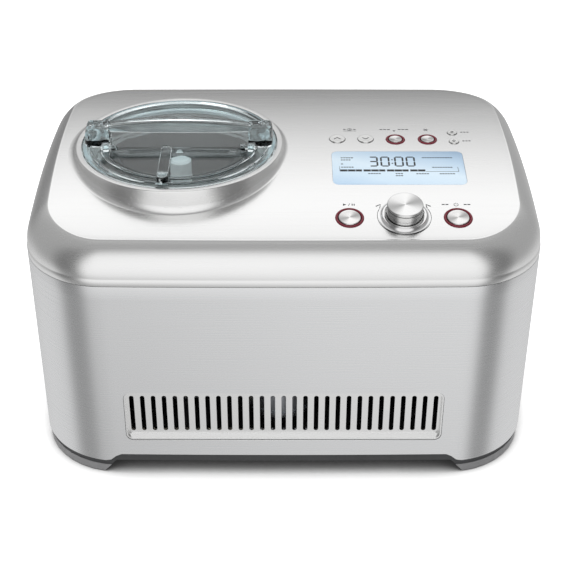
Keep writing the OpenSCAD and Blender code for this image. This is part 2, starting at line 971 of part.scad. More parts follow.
module drive_motor() {
    color([0.5, 0.51, 0.53])
    at_motor()
        translate([0, 0, frame_top])
            difference() {
                union() {
                    cylinder(r = motor_r, h = gearbox_h);
                    cylinder(r = motor_r - 4, h = gearbox_h + can_h);
                    cylinder(r = motor_r - 11, h = gearbox_h + can_h + 5);
                    for (y = [-6, 6])
                        translate([4, y - 2, gearbox_h + can_h - 1])
                            cube([0.8, 4, 8]);
                }
                translate([0, 0, -1])
                    cylinder(r = shaft_r + bearing_gap, h = gearbox_h + 1);
            }
}

// ---------- cooling plant ----------
compressor_side = 89;
compressor_x = half_w - compressor_side;
compressor_front = 102;
compressor_y = compressor_front - half_d;
mount_h = 11.5;
compressor_base = base_floor_z + mount_h;
compressor_top = 165;
weld_z = 98;
mount_reach = 44;
foot_plate_t = 2.5;
stub_out = 8;
suction_angle = 150;
discharge_angle = 110;
suction_z = coil_z;
discharge_z = 128;

module at_compressor() {
    translate([compressor_x, compressor_y, 0])
        children();
}

// Domed end of the compressor shell as an arc of a shallow ellipse
function dome(r, rise, z, a0, a1) = [
    for (i = [0:6])
        let (a = a0 + (a1 - a0) * i / 6)
            [r * cos(a), z + rise * sin(a)]
];
dome_rise = 24;

module compressor_stub(angle, z) {
    rotate(angle)
        translate([compressor_r - 6, 0, z])
            rotate([0, 90, 0])
                cylinder(r = coil_tube_r + 0.8, h = stub_out + 6, $fn = 24);
}

module compressor() {
    color([0.1, 0.1, 0.11])
    at_compressor()
        difference() {
            union() {
                rotate_extrude()
                    polygon(concat(
                        [[0, compressor_base]],
                        dome(compressor_r, 16, compressor_base + 16, -80, 0),
                        [
                            [compressor_r, weld_z - 2], [compressor_r + 3, weld_z - 2],
                            [compressor_r + 3, weld_z + 2], [compressor_r, weld_z + 2]
                        ],
                        dome(compressor_r, dome_rise, compressor_top - dome_rise, 0, 85),
                        [[0, compressor_top]]
                    ));
                translate([0, 0, compressor_base])
                    linear_extrude(foot_plate_t)
                        rounded_rect(2 * mount_reach + 18, 2 * mount_reach + 18, 9);
                compressor_stub(suction_angle, suction_z);
                compressor_stub(discharge_angle, discharge_z);
            }
            for (x = [-mount_reach, mount_reach], y = [-mount_reach, mount_reach])
                translate([x, y, 0])
                    cylinder(r = 4, h = compressor_base + foot_plate_t + 1);
        }
}

module compressor_mounts() {
    color([0.15, 0.15, 0.15])
    at_compressor()
        for (x = [-mount_reach, mount_reach], y = [-mount_reach, mount_reach])
            translate([x, y, 0])
                rotate_extrude()
                    polygon([
                        [0, base_floor_z], [8, base_floor_z], [8, compressor_base],
                        [3.9, compressor_base], [3.9, compressor_base + foot_plate_t + seat_gap],
                        [6.5, compressor_base + foot_plate_t + seat_gap],
                        [6.5, compressor_base + foot_plate_t + 3],
                        [0, compressor_base + foot_plate_t + 3]
                    ]);
}

start_relay_bite = 8;
start_relay_d = 9;
start_relay_w = 36;
start_relay_h = 38;
start_relay_z = compressor_base + 25;

module start_relay() {
    color([0.85, 0.84, 0.8])
    difference() {
        at_compressor()
            translate([compressor_r - start_relay_bite, -start_relay_w / 2, start_relay_z])
                cube([start_relay_bite + start_relay_d, start_relay_w, start_relay_h]);
        at_compressor()
            cylinder(r = compressor_r + seat_gap, h = deck_h);
    }
}

condenser_d = 20;
condenser_back = 13;
condenser_y = half_d - condenser_back - condenser_d;
fin_pitch = 7;
fin_t = 0.8;
fin_low = 32;
fin_h = 102;
end_plate_t = 1.5;
end_plate_x = 60;
tube_rows = 4;
tube_pitch = 24;
tube_low = 46;

module condenser() {
    color([0.6, 0.62, 0.63])
    translate([plant_x, condenser_y, 0]) {
        for (i = [0:fin_count - 1])
            translate([(i - (fin_count - 1) / 2) * fin_pitch - fin_t / 2, 0, fin_low])
                cube([fin_t, condenser_d, fin_h]);
        for (side = [-1, 1])
            translate([side * end_plate_x - end_plate_t / 2, -1, base_floor_z])
                cube([end_plate_t, condenser_d, fin_low + fin_h - base_floor_z]);
        for (k = [0:tube_rows - 1])
            translate([0, condenser_d / 2, tube_low + tube_pitch * k])
                rotate([0, 90, 0])
                    cylinder(r = 3.5, h = 2 * end_plate_x + 4, center = true, $fn = 32);
        for (k = [0:tube_rows - 2])
            translate([(k % 2 == 0 ? 1 : -1) * (end_plate_x + 2), condenser_d / 2, tube_low + tube_pitch * k])
                pipe([
                    [0, 0, 0],
                    [(k % 2 == 0 ? 1 : -1) * 4, 0, 4],
                    [(k % 2 == 0 ? 1 : -1) * 4, 0, tube_pitch - 4],
                    [0, 0, tube_pitch]
                ], 3.4);
    }
}

shroud_d = 24;
shroud_back = 3;
fan_y = condenser_y - shroud_back - shroud_d;
shroud_w = 104;
shroud_wall = 3;
rotor_d = 13;
fan_hub_r = 15;
fan_pin_r = 2;

module at_fan() {
    translate([plant_x, fan_y, plant_z])
        rotate([-90, 0, 0])
            children();
}

module fan_shroud() {
    color([0.16, 0.16, 0.17])
    difference() {
        union() {
            translate([plant_x - shroud_w / 2, fan_y, base_floor_z])
                cube([shroud_w, shroud_wall, plant_z + shroud_w / 2 - base_floor_z]);
            at_fan()
                cylinder(r = fan_r + 4, h = shroud_d);
            for (x = [-1, 1])
                translate([plant_x + x * (shroud_w / 2 - 4) - 4, fan_y, base_floor_z])
                    cube([8, shroud_d - 2, 10]);
        }
        at_fan()
            translate([0, 0, -1])
                cylinder(r = fan_r + 1.5, h = shroud_d + 2);
    }
}

module fan_motor() {
    color([0.22, 0.22, 0.23])
    at_fan() {
        translate([0, 0, rotor_d + 3])
            cylinder(r = fan_hub_r, h = shroud_d - rotor_d - 3);
        for (a = [45:90:315])
            rotate(a)
                translate([fan_hub_r - 2, -2, shroud_d - 3])
                    cube([fan_r + 1.4 - fan_hub_r + 2, 4, 3]);
        translate([0, 0, 4])
            cylinder(r = fan_pin_r, h = rotor_d, $fn = 32);
    }
}

module fan_rotor() {
    color([0.3, 0.3, 0.31])
    at_fan()
        difference() {
            union() {
                translate([0, 0, 2])
                    cylinder(r = fan_hub_r, h = rotor_d);
                intersection() {
                    translate([0, 0, 2])
                        cylinder(r = fan_r, h = rotor_d);
                    for (i = [0:fan_blades - 1])
                        rotate(360 * i / fan_blades)
                            translate([fan_hub_r - 3, 0, 2 + rotor_d / 2])
                                rotate([38, 0, 0])
                                    translate([0, -10, -0.8])
                                        cube([fan_r, 20, 1.6]);
                }
            }
            translate([0, 0, 3.5])
                cylinder(r = fan_pin_r + bearing_gap, h = rotor_d, $fn = 32);
        }
}

drier_side = 64;
drier_x = plant_x - drier_side;
drier_ahead = 24;
drier_y = fan_y - drier_ahead;
drier_z = 40;
drier_h = 64;
drier_r = 9;
line_r = 2.4;
line_bend = 6;

module filter_drier() {
    color([0.75, 0.47, 0.3])
    translate([drier_x, drier_y, drier_z])
        rotate_extrude()
            polygon([
                [0, 0], [line_r + 0.6, 0], [drier_r, 9], [drier_r, drier_h - 9],
                [line_r + 0.6, drier_h], [0, drier_h]
            ]);
}

// Point straight off the compressor's shell, at the end of one of its stubs
function stub_point(angle, z, out) = [
    compressor_x + (compressor_r + stub_out + out) * cos(angle),
    compressor_y + (compressor_r + stub_out + out) * sin(angle),
    z
];
tube_y = condenser_y + condenser_d / 2;
tube_left_x = plant_x - end_plate_x - 2;
coil_out_x = well_x + coil_tail_r;

module refrigerant_lines() {
    color([0.75, 0.47, 0.3]) {
        // suction line from the coil's lower end to the compressor
        bent_tube(rounded_path([
            [coil_out_x, well_y, coil_z],
            [(coil_out_x + stub_point(suction_angle, suction_z, 8)[0]) / 2, well_y, coil_z],
            stub_point(suction_angle, suction_z, 8),
            stub_point(suction_angle, suction_z, 0)
        ], line_bend), line_r);
        // hot gas line from the compressor to the condenser's top tube
        bent_tube(rounded_path([
            stub_point(discharge_angle, discharge_z, 0),
            stub_point(discharge_angle, discharge_z, 10),
            [tube_left_x - 8, fan_y - 20, discharge_z],
            [tube_left_x - 8, tube_y, tube_low + tube_pitch * (tube_rows - 1)],
            [tube_left_x, tube_y, tube_low + tube_pitch * (tube_rows - 1)]
        ], line_bend), line_r);
        // liquid line from the condenser's bottom tube to the drier
        bent_tube(rounded_path([
            [tube_left_x, tube_y, tube_low],
            [tube_left_x - 10, tube_y, tube_low],
            [drier_x, drier_y + 20, drier_z - 12],
            [drier_x, drier_y, drier_z - 10],
            [drier_x, drier_y, drier_z]
        ], line_bend), line_r);
        // capillary from the drier to the coil's upper end
        bent_tube(rounded_path([
            [drier_x, drier_y, drier_z + drier_h],
            [drier_x, drier_y, drier_z + drier_h + 14],
            [coil_out_x + 12, well_y, coil_top_z],
            [coil_out_x, well_y, coil_top_z]
        ], line_bend), line_r);
    }
}

pcb_t = 1.6;
power_board_side = 20;
power_board_x = half_w - power_board_side;
power_board_ys = [-50, 40];
power_board_top = 140;

power_board_edge = 3;
capacitor_r = 8;
capacitor_h = 11;
capacitor_ys = [-30, -8];
socket_d = 9;
socket_w = 20;
socket_h = 22;
socket_y = 14;
fuse_d = 7;
fuse_w = 8;
fuse_h = 26;
fuse_y = 30;

module power_board() {
    color([0.1, 0.35, 0.2])
    translate([power_board_x - pcb_t / 2, 0, 0]) {
        translate([0, power_board_ys[0] - power_board_edge, base_floor_z + fit_gap])
            cube([
                pcb_t,
                power_board_ys[1] - power_board_ys[0] + 2 * power_board_edge,
                power_board_top - base_floor_z
            ]);
        for (y = capacitor_ys)
            translate([pcb_t / 2, y, power_board_top - capacitor_r - 12])
                rotate([0, -90, 0])
                    cylinder(r = capacitor_r, h = capacitor_h + pcb_t / 2, $fn = 40);
        translate([-socket_d, socket_y, power_board_top - socket_h - 10])
            cube([socket_d + pcb_t / 2, socket_w, socket_h]);
        translate([-fuse_d, fuse_y, base_floor_z + 45])
            cube([fuse_d + pcb_t / 2, fuse_w, fuse_h]);
    }
}

gland_flange = 2;

module cord_gland() {
    color([0.1, 0.1, 0.1])
    translate([gland_x, gland_wall_y, gland_z])
        rotate([90, 0, 0])
            difference() {
                union() {
                    translate([0, 0, -wrap_t])
                        cylinder(r = gland_r, h = wrap_t + 8);
                    translate([0, 0, front_bow + fit_gap])
                        cylinder(r = gland_r + gland_flange, h = 3);
                }
                translate([0, 0, -wrap_t - 1])
                    cylinder(r = cord_hole_r, h = wrap_t + 12);
            }
}
// Inner face of the back wall at the gland
gland_wall_y = (half_d - wrap_t) * (1 - front_bow / half_d * pow(gland_x / half_w, 2)) - fit_gap;

// ---------- control panel ----------
window_t = 1.8;
window_sink = 0.3;
board_w = 118;
board_d = 92;
dial_board_w = 112;
dial_board_d = 26;
switch_top = 10.9;

module lcd_window() {
    color([0.62, 0.8, 0.92, 0.8])
    on_deck(lcd_x, lcd_y)
        translate([0, 0, -window_sink - window_t])
            linear_extrude(window_t)
                rounded_rect(lcd_w, lcd_d, lcd_corner - seat_gap);
}

module lcd_module() {
    color([0.5, 0.62, 0.7])
    on_deck(lcd_x, lcd_y)
        translate([-lcd_w / 2 + 2, -lcd_d / 2 + 2, -board_drop + 1.1])
            cube([lcd_w - 4, lcd_d - 4, board_drop - 1.1 - window_sink - window_t - fit_gap]);
}

module control_board() {
    color([0.1, 0.35, 0.2]) {
        on_deck(lcd_x, board_y)
            translate([-board_w / 2, -board_d / 2, -board_drop - pcb_t])
                cube([board_w, board_d, pcb_t]);
        on_deck(dial_x, dial_y)
            translate([-dial_board_w / 2, -dial_board_d / 2, -board_drop - pcb_t])
                cube([dial_board_w, dial_board_d, pcb_t]);
    }
}

// Switch on a board whose plane is the deck's tangent at plane_y
module key_switch(x, y, plane_y, size) {
    on_deck(x, plane_y)
        translate([-size / 2, (y - plane_y) / cos(deck_lean(plane_y)) - size / 2, -board_drop])
            cube([size, size, board_drop - switch_top]);
}

module key_switches() {
    color([0.12, 0.12, 0.13]) {
        for (x = [up_x, down_x])
            key_switch(x, timer_y, board_y, 5);
        for (x = [program_x, keep_cool_x])
            key_switch(x, ring_row_y, board_y, 5);
        for (y = [small_front_y, small_back_y])
            key_switch(small_x, y, board_y, 5);
        for (x = [start_x, power_x])
            key_switch(x, lower_row_y, dial_y, 6);
    }
}

module red_ring(r) {
    difference() {
        translate([0, 0, -cover_t])
            cylinder(r = r, h = cover_t + 0.5);
        translate([0, 0, -cover_t - 1])
            cylinder(r = r - ring_w, h = cover_t + 3);
    }
}

module button_rings() {
    color([0.6, 0.12, 0.15]) {
        for (x = [program_x, keep_cool_x])
            on_deck(x, ring_row_y)
                red_ring(ring_small_r);
        for (x = [start_x, power_x])
            on_deck(x, lower_row_y)
                red_ring(ring_large_r);
    }
}

stem_end = 8.2;
key_flange_t = 1;
key_flange_gap = 0.6;

// Push button: cap in its hole, a flange that stops it below the deck, and a stem to its switch
module push_button(x, y, r) {
    color([0.82, 0.82, 0.81])
    on_deck(x, y) {
        translate([0, 0, -cover_t - key_flange_gap - key_flange_t])
            cylinder(r = r, h = cover_t + key_flange_gap + key_flange_t + button_proud);
        translate([0, 0, -cover_t - key_flange_gap - key_flange_t])
            cylinder(r = r + 1.2, h = key_flange_t);
        translate([0, 0, -stem_end])
            cylinder(r = 1.8, h = stem_end - cover_t, $fn = 32);
    }
}

module button_up() {
    push_button(up_x, timer_y, timer_r);
}

module button_down() {
    push_button(down_x, timer_y, timer_r);
}

module button_program() {
    push_button(program_x, ring_row_y, ring_small_r - ring_w - button_gap);
}

module button_keep_cool() {
    push_button(keep_cool_x, ring_row_y, ring_small_r - ring_w - button_gap);
}

module button_sound() {
    push_button(small_x, small_back_y, small_r);
}

module button_units() {
    push_button(small_x, small_front_y, small_r);
}

module button_start() {
    push_button(start_x, lower_row_y, ring_large_r - ring_w - button_gap);
}

module button_power() {
    push_button(power_x, lower_row_y, ring_large_r - ring_w - button_gap);
}

dial_lift = 0.6;
dial_skirt = 1;
dial_wall = 2;

module dial_ring() {
    color([0.75, 0.75, 0.74])
    on_deck(dial_x, dial_y)
        rotate_extrude()
            polygon([
                [dial_r + dial_skirt + 0.6, 0.05], [dial_ring_r, 0.05], [dial_ring_r, 0.4],
                [dial_ring_r - 1.6, 0.7], [dial_r + dial_skirt + 1.4, 1.5],
                [dial_r + dial_skirt + 0.6, 1.5]
            ]);
}

module dial_encoder() {
    color([0.45, 0.46, 0.48])
    on_deck(dial_x, dial_y)
        difference() {
            union() {
                translate([-6, -6, -board_drop])
                    cube([12, 12, 6]);
                translate([0, 0, -board_drop])
                    cylinder(r = bush_r, h = board_drop + 0.5);
            }
            translate([0, 0, -board_drop + 2])
                cylinder(r = shaft_r + bearing_gap, h = board_drop);
        }
}

module dial_shaft() {
    color([0.7, 0.71, 0.73])
    on_deck(dial_x, dial_y)
        translate([0, 0, -board_drop + 2.5])
            cylinder(r = shaft_r, h = board_drop - 2.5 + dial_h - dial_wall);
}

module dial_knob() {
    color([0.8, 0.8, 0.79])
    on_deck(dial_x, dial_y)
        rotate_extrude()
            polygon([
                [shaft_r, 1.2], [shaft_r + 2, 1.2], [shaft_r + 2, dial_h - dial_wall],
                [dial_r - dial_wall, dial_h - dial_wall], [dial_r - dial_wall + dial_skirt, dial_lift],
                [dial_r + dial_skirt, dial_lift], [dial_r + dial_skirt, dial_lift + 0.8],
                [dial_r, dial_h - 0.8], [dial_r - 0.8, dial_h], [0, dial_h],
                [0, dial_h - dial_wall], [shaft_r, dial_h - dial_wall]
            ]);
}

// ---------- bowl and dasher ----------
bowl_outer = well_r - bowl_gap;
bowl_inner = bowl_outer - bowl_t;
bowl_bore_r = spindle_r + 1.5;
bowl_tube_r = bowl_bore_r + 2;
bowl_rim_z = well_top_z + fit_gap + bowl_t;
bowl_rim_r = well_outer + 0.5;
ear_t = 2;
ear_in = bowl_inner + 0.7;
pivot_z = bowl_rim_z + 4.6;
bail_arc_r = ear_in - 0.4 - bail_r;

module mixing_bowl() {
    color([0.83, 0.84, 0.85])
    at_well() {
        rotate_extrude()
            polygon([
                [bowl_bore_r, bowl_floor_z], [bowl_outer - 4, bowl_floor_z],
                [bowl_outer, bowl_floor_z + 4], [bowl_outer, bowl_rim_z - bowl_t],
                [bowl_rim_r, bowl_rim_z - bowl_t], [bowl_rim_r, bowl_rim_z],
                [bowl_inner, bowl_rim_z], [bowl_inner, bowl_floor_z + 4 + bowl_t],
                [bowl_inner - 4, bowl_floor_z + bowl_t], [bowl_tube_r, bowl_floor_z + bowl_t],
                [bowl_tube_r, bowl_tube_top], [bowl_bore_r, bowl_tube_top]
            ]);
        for (side = [-1, 1])
            difference() {
                translate([side > 0 ? ear_in : -ear_in - ear_t, -4.5, bowl_rim_z - bowl_t / 2])
                    cube([ear_t, 9, pivot_z + 4 - bowl_rim_z + bowl_t / 2]);
                translate([side * (ear_in - 1), 0, pivot_z])
                    rotate([0, side * 90, 0])
                        cylinder(r = bail_r + bearing_gap, h = ear_t + 3, $fn = 32);
            }
    }
}

module bowl_bail() {
    color([0.75, 0.76, 0.77])
    at_well() {
        translate([0, 0, pivot_z])
            rotate([0, 0, 180])
                rotate_extrude(angle = 180)
                    translate([bail_arc_r, 0])
                        circle(r = bail_r, $fn = 24);
        for (side = [-1, 1])
            translate([side * bail_arc_r, 0, pivot_z])
                rotate([0, side * 90, 0])
                    cylinder(r = bail_r, h = ear_in + ear_t + 1 - bail_arc_r, $fn = 32);
    }
}

dasher_top_z = rim_z - dasher_drop;
hub_gap = 0.7;
hub_bore_r = bowl_tube_r + hub_gap;
hub_wall = 3;
hub_r = hub_bore_r + hub_wall;
hub_head = 6;
hub_cone_h = 12;
knob_r = 8.5;
knob_top_r = 7;
knob_chamfer = 1.6;
scraper_r = bowl_inner - scraper_gap;
scraper_t = 4;
scraper_span = 22;
vane_w = 13;
vane_t = 3;
arm_t = 5;
arm_h = 9;
blade_low = bowl_floor_z + bowl_t + scraper_gap;
blade_room = 16;
blade_high = well_top_z - blade_room;
scraper_lift = 4.5;
vane_in = 6;
vane_lean = 38;
socket_gap = 0.35;

module dasher() {
    color([0.93, 0.93, 0.92])
    at_well()
        difference() {
            union() {
                translate([0, 0, blade_low])
                    cylinder(r = hub_r, h = bowl_tube_top + drive_hex_h + hub_head - blade_low);
                translate([0, 0, bowl_tube_top + drive_hex_h])
                    cylinder(r1 = hub_r, r2 = knob_r, h = hub_cone_h);
                cylinder(r = knob_r, h = dasher_top_z - knob_chamfer + 0.1);
                translate([0, 0, dasher_top_z - knob_chamfer])
                    cylinder(r1 = knob_r, r2 = knob_top_r, h = knob_chamfer);
                for (side = [0, 180])
                    rotate(side) {
                        // scraper that follows the bowl's wall
                        translate([0, 0, blade_low + scraper_lift])
                            rotate([0, 0, -scraper_span / 2])
                                rotate_extrude(angle = scraper_span)
                                    translate([scraper_r - scraper_t, 0])
                                        square([scraper_t, blade_high - blade_low - scraper_lift]);
                        for (z = [blade_low, blade_high - arm_h])
                            translate([0, -arm_t / 2, z])
                                cube([scraper_r - scraper_t / 2, arm_t, arm_h]);
                        // slanting vanes between the hub and the scraper
                        for (share = [0.36, 0.66])
                            translate([vane_in, 0, blade_low + (blade_high - blade_low) * share])
                                rotate([vane_lean, 0, 0])
                                    translate([0, -vane_w / 2, -vane_t / 2])
                                        cube([scraper_r - scraper_t / 2 - vane_in, vane_w, vane_t]);
                    }
            }
            translate([0, 0, -1])
                cylinder(r = hub_bore_r, h = bowl_tube_top + hex_shoulder + fit_gap + 1);
            cylinder(
                d = (drive_hex + 2 * socket_gap) / cos(30),
                h = bowl_tube_top + drive_hex_h + 1,
                $fn = 6
            );
        }
}

// ---------- lid ----------
seal_t = 2;
lid_low_z = seat_ledge_z + seal_t + 2 * fit_gap;
plate_low_z = rim_z - 3;
plate_t = 2.5;
plate_top_z = plate_low_z + plate_t;
lid_ring_w = 3.1;
step_z = plate_top_z + 1.5;
hinge_y = -13;
hinge_z = plate_top_z + 2;
hinge_pin_r = 1.5;
hatch_back_y = -9;
lug_in = 54;
hatch_half_w = lug_in - 0.8;
lug_out = 73;
lug_half = 9;
beam_mid = rim_z + handle_rise;
beam_end_drop = 4.5;
beam_low_z = plate_top_z + 2;
rib_x = -8.5;
rib_w = 8.7;
rib_in = 15;
rib_out = 68;
rib_h = 5;
rib_clear = 0.4;

module half_ring(r0, r1, z0, z1, back_y) {
    intersection() {
        translate([0, 0, z0])
            difference() {
                cylinder(r = r1, h = z1 - z0);
                translate([0, 0, -1])
                    cylinder(r = r0, h = z1 - z0 + 2);
            }
        translate([-lid_r, -lid_r * 2 + back_y, z0 - 1])
            cube([2 * lid_r, 2 * lid_r, z1 - z0 + 2]);
    }
}

module lid_seal() {
    color([0.82, 0.84, 0.85])
    at_well()
        translate([0, 0, seat_ledge_z + fit_gap])
            difference() {
                cylinder(r = lid_r, h = seal_t);
                translate([0, 0, -1])
                    cylinder(r = lid_r - lid_ring_w, h = seal_t + 2);
            }
}

// Outline of the handle seen from the front: upper and lower edges are shallow arcs
beam_steps = 12;
function beam_edge(z_mid, z_end, from, to) = [
    for (i = [0:beam_steps])
        let (x = from + (to - from) * i / beam_steps)
            [x, z_mid + (z_end - z_mid) * pow(x / lug_in, 2)]
];

module lid() {
    color([0.72, 0.8, 0.82, 0.6])
    at_well()
        difference() {
            union() {
                // rim of the lid
                translate([0, 0, lid_low_z])
                    difference() {
                        cylinder(r = lid_r, h = rim_z + 0.6 - lid_low_z);
                        translate([0, 0, -1])
                            cylinder(r = lid_r - lid_ring_w, h = rim_z - lid_low_z + 2);
                    }
                translate([0, 0, plate_low_z])
                    cylinder(r = lid_r - 1, h = plate_t);
                // raised steps round the ingredient opening
                half_ring(hatch_r + 2.5, hatch_r + 4.5, plate_top_z - 1, step_z, -lug_half);
                half_ring(lid_r - 8, lid_r - 6, plate_top_z - 1, step_z, -lug_half);
                // handle
                rotate([90, 0, 0])
                    linear_extrude(handle_t, center = true)
                        polygon(concat(
                            beam_edge(beam_low_z, beam_low_z + 4, -lug_in - 2, lug_in + 2),
                            beam_edge(beam_mid, beam_mid - beam_end_drop, lug_in + 2, -lug_in - 2)
                        ));
                // lugs at both ends of the handle, which also hold the cap's pins
                for (side = [-1, 1])
                    translate([side > 0 ? lug_in : -lug_out, -lug_half, plate_top_z - 1])
                        cube([lug_out - lug_in, 2 * lug_half, beam_mid - beam_end_drop + 0.5 - plate_top_z]);
                for (side = [-1, 1])
                    translate([side > 0 ? lug_in : -lug_in - 6, hinge_y - 3.5, plate_top_z - 1])
                        cube([6, 7, hinge_z + 3.5 - plate_top_z]);
            }
            // ingredient opening in the front half
            intersection() {
                translate([0, 0, plate_low_z - 1])
                    cylinder(r = hatch_r, h = plate_t + 2);
                translate([-hatch_half_w, hatch_back_y - 2 * lid_r, plate_low_z - 1])
                    cube([2 * hatch_half_w, 2 * lid_r, plate_t + 1.2]);
            }
            // notch in the raised steps below the cap's finger grip
            translate([rib_x - rib_w / 2 - 0.6, -rib_out - 1.5, plate_top_z])
                cube([rib_w + 1.2, 20, 5]);
            // bores for the cap's pins
            for (side = [-1, 1])
                translate([side * (lug_in - 1), hinge_y, hinge_z])
                    rotate([0, side * 90, 0])
                        cylinder(r = hinge_pin_r + bearing_gap, h = 6, $fn = 32);
        }
}

module ingredient_cap() {
    color([0.72, 0.8, 0.82, 0.6])
    at_well() {
        intersection() {
            translate([0, 0, plate_low_z])
                cylinder(r = hatch_r - lid_gap, h = plate_t);
            translate([lid_gap - hatch_half_w, hatch_back_y - lid_gap - 2 * lid_r, 0])
                cube([2 * (hatch_half_w - lid_gap), 2 * lid_r, deck_h * 2]);
        }
        // finger grip, a long rib that reaches over the frame
        translate([rib_x, -(rib_in + rib_out) / 2, plate_top_z + rib_clear])
            linear_extrude(rib_h - rib_clear)
                stadium(rib_w, rib_out - rib_in);
        translate([rib_x - rib_w / 2 + 0.5, -hatch_r + 5, plate_top_z - 1])
            cube([rib_w - 1, hatch_r - 5 - rib_in - rib_w / 2, 2]);
        // hinge pins in the handle's lugs, each on its knuckle
        for (side = [-1, 1]) {
            translate([side * (lug_in - 4), hinge_y, hinge_z])
                rotate([0, side * 90, 0])
                    cylinder(r = hinge_pin_r, h = 8, $fn = 32);
            translate([side * (lug_in - 4) - 2, hinge_y - 2, plate_top_z - 1])
                cube([4, 4, hinge_z + 2 - plate_top_z + 1]);
        }
    }
}

top_cover();
side_wrap();
front_grille();
base_pan();
corner_feet();
foot_pads();
housing_screws();
bowl_collar();
cold_well();
evaporator_coil();
insulation();
well_frame();
spindle_bearing();
spindle_shaft();
driven_pulley();
drive_belt();
motor_pulley();
motor_shaft();
drive_motor();
compressor();
compressor_mounts();
start_relay();
condenser();
fan_shroud();
fan_motor();
fan_rotor();
filter_drier();
refrigerant_lines();
power_board();
cord_gland();
control_board();
key_switches();
lcd_module();
lcd_window();
button_rings();
dial_ring();
dial_encoder();
dial_shaft();
dial_knob();
button_up();
button_down();
button_program();
button_keep_cool();
button_sound();
button_units();
button_start();
button_power();
mixing_bowl();
bowl_bail();
dasher();
lid_seal();
lid();
ingredient_cap();
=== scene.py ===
import json
import math
import random

import bmesh
import bpy
import numpy as np
from mathutils import Matrix, Vector


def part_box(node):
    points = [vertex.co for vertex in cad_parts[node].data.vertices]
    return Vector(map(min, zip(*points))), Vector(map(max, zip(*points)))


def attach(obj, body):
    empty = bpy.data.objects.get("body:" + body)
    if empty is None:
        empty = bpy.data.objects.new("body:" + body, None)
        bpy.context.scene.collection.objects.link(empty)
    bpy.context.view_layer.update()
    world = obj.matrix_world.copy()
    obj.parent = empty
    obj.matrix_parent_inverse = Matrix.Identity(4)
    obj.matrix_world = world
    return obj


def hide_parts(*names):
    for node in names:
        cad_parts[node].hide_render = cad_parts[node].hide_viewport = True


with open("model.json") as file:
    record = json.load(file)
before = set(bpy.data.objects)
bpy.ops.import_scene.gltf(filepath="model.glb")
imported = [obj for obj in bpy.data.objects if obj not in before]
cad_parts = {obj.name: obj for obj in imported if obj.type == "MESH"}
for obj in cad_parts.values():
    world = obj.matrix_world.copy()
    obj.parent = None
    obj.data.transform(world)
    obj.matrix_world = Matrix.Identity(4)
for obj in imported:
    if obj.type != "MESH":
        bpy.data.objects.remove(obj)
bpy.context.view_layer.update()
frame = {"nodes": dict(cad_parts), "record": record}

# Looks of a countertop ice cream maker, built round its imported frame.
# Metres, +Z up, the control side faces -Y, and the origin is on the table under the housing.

MM = 0.001
WHITE = (1.0, 1.0, 1.0, 1.0)


def centre_of(node):
    low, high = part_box(node)
    return (low + high) / 2


# ---------- camera ----------
PHOTO_SIDE = 568
FOCAL_PX = 1271.9
PRINCIPAL_PX = (283.75, 280.89)
CAMERA_DISTANCE = 903.84 * MM
CAMERA_HEIGHT = 685.31 * MM
CAMERA_PITCH = 0.578
SENSOR = 36.0


def make_camera():
    data = bpy.data.cameras.new("camera")
    data.sensor_width = SENSOR
    data.lens = FOCAL_PX / PHOTO_SIDE * SENSOR
    data.shift_x = (PHOTO_SIDE / 2 - PRINCIPAL_PX[0]) / PHOTO_SIDE
    data.shift_y = (PRINCIPAL_PX[1] - PHOTO_SIDE / 2) / PHOTO_SIDE
    camera = link("camera", data)
    camera.location = (0, -CAMERA_DISTANCE, CAMERA_HEIGHT)
    camera.rotation_euler = (math.pi / 2 - CAMERA_PITCH, 0, 0)
    bpy.context.scene.camera = camera


# ---------- driving sizes: the housing's plan and deck follow the same formulas as the solids ----------
WRAP_LOW, WRAP_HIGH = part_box("side_wrap")
HALF_W = WRAP_HIGH.x
HALF_D = WRAP_HIGH.y
WRAP_TOP_Z = WRAP_HIGH.z
CORNER_Z = WRAP_LOW.z
SEAM_Z = WRAP_TOP_Z + 0.8 * MM
DECK_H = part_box("top_cover")[1].z
CROWN_Y = 33.6 * MM
DECK_R = 624 * MM
CORNER_FRONT = 61 * MM
CORNER_BACK = 66.5 * MM
SIDE_BOW = 4.46 * MM
FRONT_BOW = 2.26 * MM
SHOULDER_W = 19.1 * MM
COVER_T = 2.5 * MM
WRAP_T = 2.0 * MM
ARCH_Z = 20 * MM
ARCH_SETBACK = 7 * MM
RAMP = 11 * MM
BELLY_Z = 12.5 * MM
BELLY_OFFSET = 4 * MM
FOOT_TOP_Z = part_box("corner_feet")[1].z
SKIN_PROUD = 0.12 * MM

WELL = centre_of("cold_well")
LCD_LOW, LCD_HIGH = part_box("lcd_window")
LCD = (LCD_LOW + LCD_HIGH) / 2
LCD_W = LCD_HIGH.x - LCD_LOW.x
LCD_Y = -31.9 * MM
LCD_DEPTH = 45.6 * MM
DIAL = centre_of("dial_ring")
DIAL_Y = -91.5 * MM
TIMER_KEYS = ("button_up", "button_down")
RING_KEYS = ("button_program", "button_keep_cool")
SMALL_KEYS = ("button_sound", "button_units")
LARGE_KEYS = ("button_start", "button_power")
RING_R = {**dict.fromkeys(RING_KEYS, 7.85 * MM), **dict.fromkeys(LARGE_KEYS, 10.75 * MM)}
SEAT_GAP = 0.1 * MM
BUTTON_GAP = 0.35 * MM
KEY_FLANGE = 1.2 * MM
KEY_PROUD = 0.9 * MM
KEY_Y = {
    **dict.fromkeys(TIMER_KEYS, 10.3 * MM),
    **dict.fromkeys(RING_KEYS, 9.6 * MM),
    "button_sound": 20.7 * MM,
    "button_units": 6.2 * MM,
    **dict.fromkeys(LARGE_KEYS, -93 * MM),
}
BODY_OF = {
    node: body
    for body, members in frame["record"]["behaviour"]["bodies"].items()
    for node in members
}


def key_place(node):
    """Place of a key on the deck: its box is symmetric in X, but leans in Y."""
    low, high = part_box(node)
    return (low.x + high.x) / 2, KEY_Y[node]


